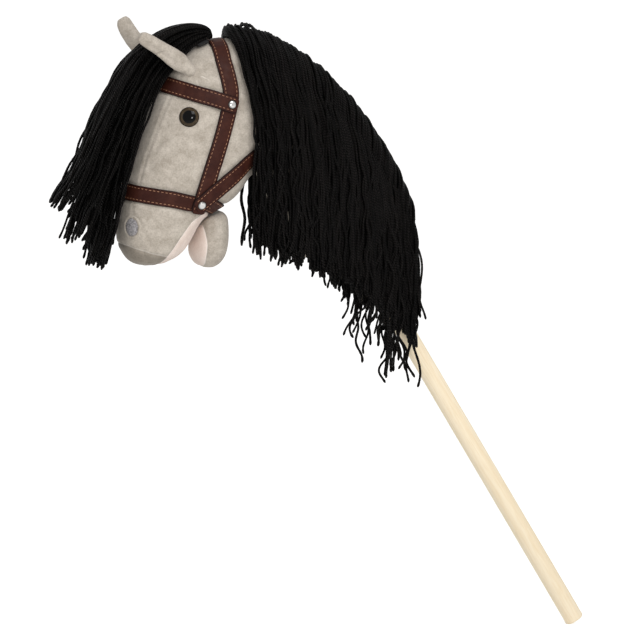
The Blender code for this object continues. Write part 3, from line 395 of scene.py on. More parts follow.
def makeYarnLook():
    # twisted acrylic yarn: black, two plies with painted shade in the grooves between them, and a dull shine
    # of fine fibres along each drawn as painted highlight flecks
    values = {"Roughness": 0.42, "Sheen Weight": 0.003, "Sheen Roughness": 0.4, "Specular IOR Level": 0.04}
    material, tree, shader, place = startMaterial("blackYarn", values)
    around = addNode(tree, "ShaderNodeAttribute", {}, attribute_name="around")["Vector"]
    parts = addNode(tree, "ShaderNodeSeparateXYZ", {0: around})
    angle = addNode(tree, "ShaderNodeMath", {0: parts[1], 1: parts[0]}, operation="ARCTAN2")[0]
    lead = addNode(tree, "ShaderNodeMath", {0: parts[2], 1: 4 * pi / yarnLook["lay"]},
                   operation="MULTIPLY")[0]
    turn = addNode(tree, "ShaderNodeMath", {0: angle, 1: 2.0, 2: lead}, operation="MULTIPLY_ADD")[0]
    plies = addNode(tree, "ShaderNodeMath", {0: turn}, operation="COSINE")[0]
    fuzzAndSheen = addNode(tree, "ShaderNodeTexNoise", {"Vector": place, "Scale": scaleOf(yarnLook["fuzzAndSheenSpacing"]),
                                                  "Detail": 3.0, "Roughness": 0.7})[0]
    # each strand's own random tone: the brighter strands are painted sheen, as if they caught more light
    tone = addNode(tree, "ShaderNodeAttribute", {}, attribute_name="tone")["Fac"]
    colour = tinted(tree, yarnLook["ply"],
                    (tone, 0.0, 1.0, 0.0, 1.0, yarnLook["brightSheen"]),
                    # painted highlights: sparse bright flecks along the plies
                    (fuzzAndSheen, 0.56, 0.76, 0.0, 0.9, yarnLook["sheenFleck"]),
                    # painted shade: darker in the grooves where the two plies meet
                    (plies, 0.35, -0.5, 0.0, 1.0, yarnLook["grooveShade"]))
    rise = addNode(tree, "ShaderNodeMapRange", {0: plies, 1: -1.0, 2: 1.0})[0]
    twist = addNode(tree, "ShaderNodeBump", {"Height": rise, "Strength": 0.8, "Distance": 0.7 * mm})[0]
    fuzz = addNode(tree, "ShaderNodeBump", {"Height": fuzzAndSheen, "Strength": 0.4, "Distance": 0.3 * mm,
                                            "Normal": twist})[0]
    feed(tree, shader, {"Base Color": colour, "Normal": fuzz})
    return material


tapeLook = {"dark": "070607", "light": "171516", "rib": 1.6}      # mm between its ribs


def makeTape():
    # woven black tape that the yarn is sewn to
    material, tree, shader, place = startMaterial("wovenTape", {"Roughness": 0.85})
    weave = addNode(tree, "ShaderNodeTexWave", {"Vector": place, "Scale": scaleOf(tapeLook["rib"] * 2 * pi),
                                                "Distortion": 1.0}, bands_direction="DIAGONAL")["Fac"]
    colour = tinted(tree, tapeLook["dark"], (weave, 0.0, 1.0, 0.0, 1.0, tapeLook["light"]))
    bump = addNode(tree, "ShaderNodeBump", {"Height": weave, "Strength": 0.5, "Distance": 0.4 * mm})[0]
    feed(tree, shader, {"Base Color": colour, "Normal": bump})
    return material


chromeLook = {"dark": "A9A8A7", "light": "CFCECD", "darkRimReflection": "38342F", "mark": 1.2}      # mm between marks


def makeChrome():
    # bright plated steel with faint tumbling marks, its outer rim towards the strap darkened as a painted
    # dark reflection
    material, tree, shader, place = startMaterial("chrome", {"Metallic": 1.0, "Roughness": 0.12})
    marks = addNode(tree, "ShaderNodeTexNoise", {"Vector": place, "Scale": scaleOf(chromeLook["mark"]),
                                                 "Detail": 3.0})[0]
    rim = addNode(tree, "ShaderNodeAttribute", {}, attribute_name="rim")["Fac"]
    colour = tinted(tree, chromeLook["dark"],
                    (marks, 0.0, 1.0, 0.0, 1.0, chromeLook["light"]),
                    # painted reflection: the dome's outer rim is darkened as if it mirrored dark surroundings
                    (rim, 0.55, 0.98, 0.0, 1.0, chromeLook["darkRimReflection"]))
    rough = addNode(tree, "ShaderNodeMapRange", {0: marks, 1: 0.3, 2: 0.7, 3: 0.06, 4: 0.16})[0]
    feed(tree, shader, {"Base Color": colour, "Roughness": rough})
    return material


glossSwirl = 4.0                   # mm between the swirls of a moulded colour


def makeGloss(name, first, second, roughness=0.05, specular=0.13):
    # moulded plastic of a safety eye, polished, its colour slightly swirled
    values = {"Roughness": roughness, "Specular IOR Level": specular}
    material, tree, shader, place = startMaterial(name, values)
    swirl = addNode(tree, "ShaderNodeTexNoise", {"Vector": place, "Scale": scaleOf(glossSwirl),
                                                 "Detail": 3.0})[0]
    colour = tinted(tree, first, (swirl, 0.35, 0.65, 0.0, 1.0, second))
    feed(tree, shader, {"Base Color": colour})
    return material


woodLook = {"pale": "FBECD0", "vein": "E9D1A6", "grain": 1.1, "band": 9.0, "stretch": 0.035}


def makeWood():
    # sanded dowel of a pale, close-grained wood under clear varnish
    values = {"Roughness": 0.42, "Coat Weight": 0.12, "Coat Roughness": 0.3}
    material, tree, shader, place = startMaterial("paleWood", values)
    lean = atan2(stick["lean"][0], stick["lean"][2])
    turned = addNode(tree, "ShaderNodeMapping", {"Vector": place, "Rotation": (0.0, -lean, 0.0)})[0]
    long = addNode(tree, "ShaderNodeMapping", {"Vector": turned, "Scale": (1.0, 1.0, woodLook["stretch"])})[0]
    veins = addNode(tree, "ShaderNodeTexNoise", {"Vector": long, "Scale": scaleOf(woodLook["grain"]),
                                                 "Detail": 4.0, "Roughness": 0.6})[0]
    bands = addNode(tree, "ShaderNodeTexNoise", {"Vector": long, "Scale": scaleOf(woodLook["band"])})[0]
    colour = tinted(tree, woodLook["pale"],
                    (veins, 0.46, 0.78, 0.0, 0.9, woodLook["vein"]),
                    (bands, 0.45, 0.75, 0.0, 0.45, woodLook["vein"]))
    bump = addNode(tree, "ShaderNodeBump", {"Height": veins, "Strength": 0.2, "Distance": 0.15 * mm})[0]
    feed(tree, shader, {"Base Color": colour, "Normal": bump})
    return material


stick = {
    "length": 800.0,
    "diameter": 25.0,
    "chamfer": 2.0,
    "sides": 96,
    "lean": (-0.515038, 0.0, 0.857167),
    "enters": 592.0,               # mm from its lower end to where the neck begins
}

plush = makePlush("plush", plushLooks["plush"])
plushDark = makePlush("plushDark", plushLooks["plushDark"])
lining = makePlush("lining", plushLooks["lining"])
fleece = makeFleece()
leatherette = makeLeatherette()
thread = makeThread()
blackYarn = makeYarnLook()
tape = makeTape()
chrome = makeChrome()
pupilGloss = makeGloss("pupilGloss", "030303", "060505", 0.05, 0.1)
irisGloss = makeGloss("irisGloss", "33281A", "493C2A")
rimGloss = makeGloss("rimGloss", "17120D", "241D15", 0.2)
wood = makeWood()
nylon = makeGloss("nylon", "DEDDD8", "EFEEEA", 0.4, 0.5)
print("materials made")


# Stick
def makeStick():
    bpy.ops.object.select_all(action="DESELECT")
    bpy.ops.mesh.primitive_cylinder_add(vertices=stick["sides"], radius=stick["diameter"] / 2 * mm,
                                        depth=stick["length"] * mm, location=(0, 0, stick["length"] / 2 * mm))
    item = bpy.context.active_object
    item.name = "woodenStick"
    bpy.ops.object.transform_apply(location=True, rotation=False, scale=False)
    applyModifier(item, "BEVEL", width=stick["chamfer"] * mm, segments=3, limit_method="ANGLE")
    item.data.transform(Vector((0, 0, 1)).rotation_difference(Vector(stick["lean"])).to_matrix().to_4x4())
    bpy.ops.object.shade_smooth_by_angle(angle=radians(30))
    item.data.materials.append(wood)
    settle(item, "horse", "wood", "stick")


makeStick()

# Plush skins: CAD solids are joined, made one skin, filled by cloth pressure and sewn along their seams
filling = {
    "voxel": 4.0,                  # mm
    "smoothing": 8,
    "shrink": 1.2,                 # mm that the skin starts inside its solid, because pressure swells it
    "pressure": 4.0,
    "cap": 3.2,                    # mm that a point of it may move
    "frames": 20,
    "fine": 1,
    "held": 0.6,                   # voxels from a seam within which the skin stays put
    "jawVoxel": 3.0,
    "jawCap": 1.6,
}
socketPlug = {"radius": 13.6, "past": 4.0}            # mm, fills the stick's socket before the skin is made
earPlug = {"towards": (-0.520, 0.0, 0.690), "inside": 8.5, "radius": 9.7}      # fills an ear's root
seams = {                          # sewn lines: x, distance from the mid plane, z
    "face": [(-500, 20, 776), (-528, 27, 757), (-550, 31, 722), (-567, 32, 691), (-582, 32, 653),
             (-592, 30, 627), (-601, 31, 597), (-609, 30, 572), (-612, 31, 553)],
    "flare": [(-612, 31, 553), (-606, 37, 550), (-602, 41, 540), (-602, 41, 530), (-607, 37, 520),
              (-614, 32, 513)],
    "dartFront": [(-529, 28, 749), (-514, 34, 751), (-496, 38, 751), (-486, 40, 750)],
    "dartRear": [(-528, 36, 733), (-518, 43, 730), (-505, 49, 723), (-492, 52, 718)],
}
areas = {                          # panels of other cloth, as outlines seen from the side: x, z
    "lip": [(-660, 530), (-627, 517), (-606, 510), (-585, 503), (-564, 498), (-580, 470), (-590, 440),
            (-680, 440)],
    "lining": [(-514, 556), (-534, 543), (-549, 523), (-564, 498), (-580, 470), (-590, 440), (-480, 440),
               (-480, 540)],
    "jawLining": [(-514, 560), (-514, 545), (-512, 530), (-510, 512), (-511, 495), (-508, 470),
                  (-560, 470), (-560, 560)],
}
spine = [(-313, 520), (-350, 595), (-395, 660), (-444, 689), (-490, 677), (-519, 634), (-546, 580),
         (-572, 527), (-590, 480)]
neckSeam = {"x": -452.0, "z": 690.0, "lean": 7.5}      # where the head's panels meet the neck's
basePanelDrop = 5.0                # mm from the neck's first section to the seam of its base panel
neckStart = (-313.0, 520.0)
cheek = {
    "middle": (-558.0, 52.0, 622.0),
    "radius": 34.0,
    "height": 2.0,                 # mm that it stands out
    "fullness": 0.8,               # below 1 the puff is full to near its edge
    "foldDepth": 0.9,
    "foldWidth": 2.6,
}
cheekFolds = [
    [(-582, 37, 639), (-571, 42, 652), (-556, 50, 656), (-542, 55, 651), (-534, 58, 639), (-532, 59, 620),
     (-540, 58, 606)],
    [(-557, 54, 601), (-542, 57, 593), (-530, 58, 587)],
    [(-531, 26, 514), (-527, 32, 527), (-522, 30, 533), (-523, 41, 544)],
    [(-606, 37, 526), (-600, 37, 510), (-588, 26, 492)],
    [(-597, 42, 531), (-588, 39, 512), (-574, 26, 494)],
]
chinSeam = [(-494, 34, 560), (-496, 36, 541), (-495, 38, 513), (-498, 30, 489), (-500, 12, 477),
            (-500, 0, 474)]
throatHalf = 30.0                  # mm from the mid plane within which the throat's seam can lie
farOff = 0.1                       # metres, stands for a place that this seam doesn't reach
sewing = {
    "depth": 0.7,                  # mm that a seam is drawn in
    "width": 1.1,
    "puff": 0.5,
    "puffAt": 4.5,
    "puffWidth": 2.6,
    "panel": 1.8,                  # thickness of a panel of other cloth
    "under": 0.4,                  # mm that the skin lies below such a panel
    "slope": 0.6,                  # mm in which it gets there
    "snap": 0.12,                  # mm within which a point counts as on the seam
    "jump": 10.0,                  # mm, a larger step along one edge isn't a crossing
    "fill": {"head": 0.9, "neck": 0.95, "jaw": 0.85},
}


def joinedSolids(name, nodes, fillers=()):
    shape = bmesh.new()
    for node in nodes:
        shape.from_mesh(frame["nodes"][node].data)
    bmesh.ops.remove_doubles(shape, verts=shape.verts, dist=0.000001)
    for place, radius in fillers:
        bmesh.ops.create_uvsphere(shape, u_segments=24, v_segments=16, radius=radius * mm,
                                  matrix=Matrix.Translation(place))
    if "neck" in nodes:
        axis = Vector(stick["lean"])
        reach = stick["length"] + socketPlug["past"] - stick["enters"]
        middle = axis * ((stick["enters"] + reach / 2) * mm)
        turn = Vector((0, 0, 1)).rotation_difference(axis).to_matrix().to_4x4()
        radius = socketPlug["radius"] * mm
        bmesh.ops.create_cone(shape, cap_ends=True, segments=32, radius1=radius, radius2=radius,
                              depth=reach * mm, matrix=Matrix.Translation(middle) @ turn)
    mesh = bpy.data.meshes.new(name)
    shape.to_mesh(mesh)
    shape.free()
    return addPiece(name, mesh)


def keepLargest(item):
    # a remesh also skins the hollows inside
    with editing(item.data) as shape:
        left = set(shape.verts)
        islands = []
        while left:
            island = {left.pop()}
            front = list(island)
            while front:
                for edge in front.pop().link_edges:
                    for vert in edge.verts:
                        if vert in left:
                            left.remove(vert)
                            island.add(vert)
                            front.append(vert)
            islands.append(island)
        islands.sort(key=len)
        doomed = [vert for island in islands[:-1] for vert in island]
        bmesh.ops.delete(shape, geom=doomed, context="VERTS")


def nearestTurn(points, line):
    # distance to a line, and on which side of it each point lies as seen from the horse's side
    best = np.full(len(points), 1.0)
    turn = np.zeros(len(points))
    for a, b in zip(line, line[1:]):
        _, away = toSegment(points, a, b)
        distance = np.linalg.norm(away, axis=1)
        closer = distance < best
        best[closer] = distance[closer]
        turn[closer] = ((b - a)[0] * away[:, 2] - (b - a)[2] * away[:, 0])[closer]
    return best, turn


def lineValue(points, line):
    # distance to a sewn line, mirrored to both sides of the horse, above 0 on one side of it
    best, turn = nearestTurn(mirrored(points), line)
    return best * np.where(turn >= 0.0, 1.0, -1.0)


def areaValue(points, outline):
    # distance to an outline seen from the side, above 0 inside it
    flat = points[:, (0, 2)]
    corners = np.array(outline, float) * mm
    best = np.full(len(points), 1.0)
    inside = np.zeros(len(points), bool)
    for a, b in zip(corners, np.roll(corners, -1, axis=0)):
        _, away = toSegment(flat, a, b)
        best = np.minimum(best, np.linalg.norm(away, axis=1))
        spans = (flat[:, 1] > a[1]) != (flat[:, 1] > b[1])
        rise = b[1] - a[1] if b[1] != a[1] else 1.0
        inside ^= spans & (flat[:, 0] < a[0] + (b - a)[0] * (flat[:, 1] - a[1]) / rise)
    return np.where(inside, best, -best)


spineLine = smoothLine([(x * mm, 0.0, z * mm) for x, z in spine], 4)


def throatValue(points):
    # the seam under throat and neck, in the mid plane on the inner side of the spine
    _, turn = nearestTurn(points * (1.0, 0.0, 1.0), spineLine)
    return np.where((turn < 0.0) | (np.abs(points[:, 1]) > throatHalf * mm), farOff, points[:, 1])


def neckSeamValue(points):
    lean = radians(neckSeam["lean"])
    across = np.array([cos(lean), 0.0, sin(lean)])
    return (points - np.array([neckSeam["x"], 0.0, neckSeam["z"]]) * mm) @ across


def baseSeamValue(points):
    axis = np.array(stick["lean"])
    place = np.array([neckStart[0], 0.0, neckStart[1]]) * mm - axis * (basePanelDrop * mm)
    return (points - place) @ axis


sewnLines = {name: smoothLine(np.array(line, float) * mm, 3) for name, line in seams.items()}
chinLine = smoothLine(np.array(chinSeam, float) * mm, 4)


def headValues(points):
    values = {name: lineValue(points, line) for name, line in sewnLines.items()}
    values["throat"] = throatValue(points)
    values["lip"] = areaValue(points, areas["lip"])
    values["lining"] = areaValue(points, areas["lining"])
    values["neckSeam"] = neckSeamValue(points)
    values["base"] = baseSeamValue(points)
    return values


def jawValues(points):
    return {"jawLining": areaValue(points, areas["jawLining"]), "chin": lineValue(points, chinLine)}


def fillSkin(item, values, voxel, cap):
    applyModifier(item, "REMESH", mode="VOXEL", voxel_size=voxel * mm)
    keepLargest(item)
    applyModifier(item, "SMOOTH", factor=0.5, iterations=filling["smoothing"])
    start = pointsOf(item.data) - normalsOf(item.data) * (filling["shrink"] * mm)
    movePoints(item.data, start)
    nearest = np.min([np.abs(row) for row in values(start).values()], axis=0)
    held = item.vertex_groups.new(name="sewn")
    for i in np.nonzero(nearest < filling["held"] * voxel * mm)[0]:
        held.add([int(i)], 1.0, "REPLACE")
    cloth = item.modifiers.new("filling", "CLOTH")
    cloth.settings.use_pressure = True
    cloth.settings.uniform_pressure_force = filling["pressure"]
    cloth.settings.effector_weights.gravity = 0.0
    cloth.settings.vertex_group_mass = "sewn"
    for number in range(1, filling["frames"] + 1):
        bpy.context.scene.frame_set(number)
    graph = bpy.context.evaluated_depsgraph_get()
    moved = pointsOf(item.evaluated_get(graph).data) - start
    item.modifiers.remove(cloth)
    bpy.context.scene.frame_set(1)
    item.vertex_groups.clear()
    length = np.maximum(np.linalg.norm(moved, axis=1, keepdims=True), 1e-9)
    movePoints(item.data, start + moved * np.minimum(1.0, cap * mm / length))
    applyModifier(item, "SMOOTH", factor=0.5, iterations=2)
    applyModifier(item, "SUBSURF", levels=filling["fine"], render_levels=filling["fine"])
    item.data.shade_smooth()
    print(item.name, "filled,", len(item.data.polygons), "faces")


def cutAlong(shape, row):
    # puts a line of edges where row is 0
    near = sewing["snap"] * mm
    shape.verts.index_update()
    onLine = [vert for vert in shape.verts if abs(row[vert.index]) < near]
    for edge in list(shape.edges):
        a, b = edge.verts
        first, second = row[a.index], row[b.index]
        crosses = first * second < 0.0 and abs(first - second) < sewing["jump"] * mm
        if crosses and min(abs(first), abs(second)) >= near:
            onLine.append(bmesh.utils.edge_split(edge, a, first / (first - second))[1])
    bmesh.ops.connect_verts(shape, verts=onLine)
    shape.verts.index_update()
    shape.verts.ensure_lookup_table()


def sewSkin(item, values, names):
    # cuts the mesh along its seams, then draws them in between soft puffs
    with editing(item.data) as shape:
        for name in names:
            points = np.array([vert.co for vert in shape.verts])
            cutAlong(shape, values(points)[name])
    item.data.update()
    points = pointsOf(item.data)
    normals = normalsOf(item.data)
    found = values(points)
    nearest = np.min([np.abs(found[name]) for name in names], axis=0) / mm
    sink = -sewing["depth"] * np.exp(-(nearest / sewing["width"]) ** 2)
    puff = sewing["puff"] * np.exp(-((nearest - sewing["puffAt"]) / sewing["puffWidth"]) ** 2)
    movePoints(item.data, points + normals * ((sink + puff) * mm)[:, None])
    addAttribute(item.data, "seam", nearest)
    return found


def panelFrom(item, name, inside, material):
    # lifts a panel of other cloth off a skin, gives it a thickness, and sinks the skin under it
    points = pointsOf(item.data)
    normals = normalsOf(item.data)
    panel = addPiece(name, item.data.copy(), material)
    with editing(panel.data) as shape:
        outside = [face for face in shape.faces if np.mean([inside[v.index] for v in face.verts]) <= 0.0]
        bmesh.ops.delete(shape, geom=outside, context="FACES")
    applyModifier(panel, "SOLIDIFY", thickness=sewing["panel"] * mm, offset=-1.0)
    share = np.clip(inside / (sewing["slope"] * mm), 0.0, 1.0)
    sunk = share * (sewing["panel"] + sewing["under"]) * mm
    movePoints(item.data, points - normals * sunk[:, None])
    panel.data.shade_smooth()
    return panel


def earCentre(word):
    joint = next(joint for joint in frame["joints"] if joint["name"] == "ear_%s_flop" % word)
    return Vector(joint["pos_m"])


earFillers = []
for word in toSide:
    centre = earCentre(word)
    inward = (Vector(earPlug["towards"]) - centre).normalized()
    earFillers.append((centre + inward * (earPlug["inside"] * mm), earPlug["radius"]))

headNodes = ["head", "neck", "neck_base_panel", "upper_lip", "upper_mouth_lining"]
skin = joinedSolids("headSkin", headNodes, earFillers)
fillSkin(skin, headValues, filling["voxel"], filling["cap"])
jaw = joinedSolids("jawSkin", ["lower_jaw", "lower_mouth_lining"])
fillSkin(jaw, jawValues, filling["jawVoxel"], filling["jawCap"])


def puffCheeks(item):
    points = pointsOf(item.data)
    away = mirrored(points) - np.array(cheek["middle"]) * mm
    share = np.clip(1.0 - (np.linalg.norm(away, axis=1) / (cheek["radius"] * mm)) ** 2, 0.0, 1.0)
    height = cheek["height"] * share ** cheek["fullness"]
    for fold in cheekFolds:
        near = np.abs(lineValue(points, smoothLine(np.array(fold, float) * mm, 4))) / mm
        height -= cheek["foldDepth"] * np.exp(-(near / cheek["foldWidth"]) ** 2)
    movePoints(item.data, points + normalsOf(item.data) * (height * mm)[:, None])


puffCheeks(skin)

# Straps: laid on the plush from outside, each over those that it crosses
bridle = {
    "width": 21.5,                 # mm
    "thickness": 2.0,
    "rest": -0.4,                  # mm from the plush to a strap's underside, a little pressed in
    "lap": 0.25,                   # mm between a strap and one that it crosses
    "pitch": 2.5,                  # mm from row to row
    "across": 17,                  # points in a row
    "crown": 0.25,                 # mm that its middle is higher
    "edge": 0.8,                   # mm, radius of its rounded edges
    "ease": 21,                    # rows in which a strap comes down from one that it crosses
    "easeStep": 0.2,               # mm a row
    "evenings": {"centre": 4, "normal": 6, "row": 3},      # times that each is evened
    "corner": 6.0,                 # mm, radius of a strap end's corners
    "endInset": 0.4,               # mm from its edge at an open end
    "stitchInset": 3.4,            # mm from a strap's edge
    "stitchPitch": 5.3,
    "stitchLength": 3.5,
    "stitchRadius": 0.42,
    "stitchSpan": 1.5,             # mm to both sides of a stitch that give its direction
    "stitchProud": 0.18,
    "channel": 0.3,                # mm that a line of stitches is drawn in
    "channelWidth": 0.7,
    "crowding": 0.96,              # how closely the points crowd at its edges
    "level": 3,                    # rows beside a crossing that stay as high as it
    "farFromEdge": 10.0,           # what a stitch has in place of its distance from an edge
    "reach": 80.0,                 # mm from which a route is cast on the plush
    "press": {"depth": 1.5, "reach": 5.0, "gain": 1.25, "power": 1.5},
}
# metres from its target at which a ray starts
casts = {"side": 0.26, "near": 0.02, "past": 0.004, "crest": 0.12, "mane": 0.2}
routes = {                         # x, z of points on the left side, then the ridge that a strap goes over
    "noseStrap": {"side": [(-515, 563), (-527, 566), (-545, 570)], "over": (-560, 574), "angle": 171.0,
                  "chin": (-518, 568), "chinAngle": -26.0},
    "crownStrap": {"side": [(-530, 553), (-520.5, 586), (-508, 625), (-493.5, 668), (-484, 704), (-486, 728),
                            (-490, 750)], "over": (-490, 752), "angle": 90.0},
    "browStrap": {"side": [(-474, 691), (-484.5, 694.5), (-508, 702.5), (-532, 710)],
                  "over": (-546, 714.5), "angle": 162.5},
    "neckRein": {"side": [(-534.5, 562.5), (-526, 568.5), (-503, 587.5), (-470, 611), (-435, 633.5),
                          (-405, 652)], "over": (-388, 661), "angle": 36.0},
}
laidTrees = []


def castOn(tree, target, direction, reach):
    hit, normal, _, _ = tree.ray_cast(Vector(target) + direction * reach, -direction)
    return hit, normal


def overRun(centre, outward, count):
    run = []
    for i in range(count + 1):
        angle = pi * i / count
        direction = toSide["left"] * cos(angle) + outward * sin(angle)
        run.append((Vector((centre[0], 0, centre[1])) * mm, direction))
    return run


def planeDirection(angle):
    return Vector((cos(radians(angle)), 0, sin(radians(angle))))


def strapRoute(route):
    side = [(Vector(point), toSide["left"])
            for point in smoothLine([(x * mm, 0, z * mm) for x, z in route["side"]], 6)]
    back = [(point, toSide["right"]) for point, _ in reversed(side)]
    run = side + overRun(route["over"], planeDirection(route["angle"]), 28) + back
    if "chin" in route:
        run += list(reversed(overRun(route["chin"], planeDirection(route["chinAngle"]), 20)))
    return run


def evenMiddle(tree, run, closed):
    # a strap's middle line on the plush, with its directions outwards
    rough = [castOn(tree, target, direction, bridle["reach"] * mm) for target, direction in run]
    if closed:
        rough.append(rough[0])
    line = np.array([hit for hit, _ in rough])
    slopes = np.array([normal for _, normal in rough])
    lengths = lengthsOf(line)
    count = int(round(lengths[-1] / (bridle["pitch"] * mm)))
    middle = []
    for place in np.linspace(0.0, lengths[-1], count + 1)[:count if closed else count + 1]:
        normal = Vector(lineAt(place, lengths, slopes)).normalized()
        hit, slope = castOn(tree, Vector(lineAt(place, lengths, line)), normal, casts["near"])
        middle.append((hit, (slope + normal * 2).normalized()))
    return middle


def ease(numbers, times, closed):
    # averages rows with their neighbours, because leather bridges what plush doesn't
    for _ in range(times):
        before = np.roll(numbers, 1, axis=0)
        after = np.roll(numbers, -1, axis=0)
        if not closed:
            before[0] = numbers[0]
            after[-1] = numbers[-1]
        numbers = (before + 2 * numbers + after) / 4
    return numbers


def heightOver(point, normal):
    # how high the straps laid so far stand over a point
    best = None
    for tree in laidTrees:
        start = point + normal * casts["near"]
        hit, _, _, distance = tree.ray_cast(start, -normal, casts["near"] + casts["past"])
        if hit is not None:
            height = casts["near"] - distance
            best = height if best is None else max(best, height)
    return best


def stitchShape():
    bpy.ops.object.select_all(action="DESELECT")
    bpy.ops.mesh.primitive_uv_sphere_add(segments=6, ring_count=4, radius=1.0)
    item = bpy.context.active_object
    sizes = (bridle["stitchLength"] / 2, bridle["stitchRadius"], bridle["stitchRadius"] * 0.8, 1.0)
    item.data.transform(Matrix.Diagonal(sizes) @ Matrix.Rotation(pi / 2, 4, "Y"))
    points = pointsOf(item.data) * mm
    # the sphere's own order changes from run to run, so its points and faces are put in a fixed one
    order = sorted(range(len(points)), key=lambda k: tuple(points[k]))
    numbers = {old: new for new, old in enumerate(order)}
    faces = []
    for face in item.data.polygons:
        corners = [numbers[corner] for corner in face.vertices]
        step = 2 if len(corners) == 4 else 1      # a quad keeps its diagonal
        faces.append(min(corners[k:] + corners[:k] for k in range(0, len(corners), step)))
    bpy.data.objects.remove(item)
    return points[order], sorted(faces)


stitchPoints, stitchFaces = stitchShape()


def strapSection(half):
    # across a strap from edge to edge: place, height of its top, distance from its edge, all in mm
    edge = bridle["edge"]
    widest = pi / 2 * bridle["crowding"]
    shares = np.sin(np.linspace(-1.0, 1.0, bridle["across"]) * widest) / sin(widest)
    across = shares * half
    inset = half - np.abs(across)
    top = bridle["thickness"] + bridle["crown"] * (1.0 - shares ** 2)
    top = top - bridle["channel"] * np.exp(-((inset - bridle["stitchInset"]) / bridle["channelWidth"]) ** 2)
    drop = np.clip(edge - inset, 0.0, edge)
    return across, top - (edge - np.sqrt(edge ** 2 - drop ** 2)), inset


def pressRow(tree, centre, normal, side, across):
    # one row of a strap on the plush: its points and slopes, and how high it has to ride
    row, slope = [], []
    for place in across:
        start = centre + side * (place * mm)
        hit, tilt = castOn(tree, start, normal, casts["near"])
        row.append(hit if hit is not None else start)
        slope.append(list(tilt if tilt is not None else normal))
    heights = [heightOver(point, normal) for point in row[::4]]
    heights = [height / mm for height in heights if height is not None]
    need = max(heights) + bridle["lap"] if heights else bridle["rest"]
    return [list(point) for point in row], slope, need


def strapRests(needs, closed):
    # each row's height over the plush, where it comes down slowly from a strap that it crosses
    count = len(needs)
    rests = []
    for i in range(count):
        rest = bridle["rest"]
        for j in range(-bridle["ease"], bridle["ease"] + 1):
            k = (i + j) % count if closed else i + j
            if 0 <= k < count:
                rest = max(rest, needs[k] - max(0, abs(j) - bridle["level"]) * bridle["easeStep"])
        rests.append(rest)
    return ease(np.array(rests), bridle["evenings"]["row"], closed)[:, None, None] * mm


def stitchLines(over, slopes, closed, total):
    # two lines of stitches in a strap's channels, total is the number of the points before them
    half = bridle["width"] / 2
    inset = 1.0 - bridle["stitchInset"] / half
    points, faces = [], []
    for place in np.interp([-inset, inset], strapSection(half)[0] / half, np.arange(bridle["across"])):
        low = int(place)
        share = place - low
        line = over[:, low] * (1 - share) + over[:, low + 1] * share
        tilt = slopes[:, low]
        if closed:
            line = np.vstack([line, line[:1]])
            tilt = np.vstack([tilt, tilt[:1]])
        lengths = lengthsOf(line) / mm
        margin = 0.0 if closed else bridle["stitchInset"] + bridle["stitchLength"] / 2
        room = lengths[-1] - 2 * margin
        stitches = int(room / bridle["stitchPitch"])
        for j in range(stitches):
            at = margin + room * (j + 0.5) / stitches
            ahead = lineAt(at + bridle["stitchSpan"], lengths, line)
            along = unit(ahead - lineAt(at - bridle["stitchSpan"], lengths, line))
            up = lineAt(at, lengths, tilt)
            up = unit(up - along * (up @ along))
            basis = np.stack([along, np.cross(up, along), up])
            centre = lineAt(at, lengths, line)
            points.append(stitchPoints @ basis + centre + up * (bridle["stitchProud"] * mm))
            faces += [[total + corner for corner in face] for face in stitchFaces]
            total += len(stitchPoints)
    return points, faces


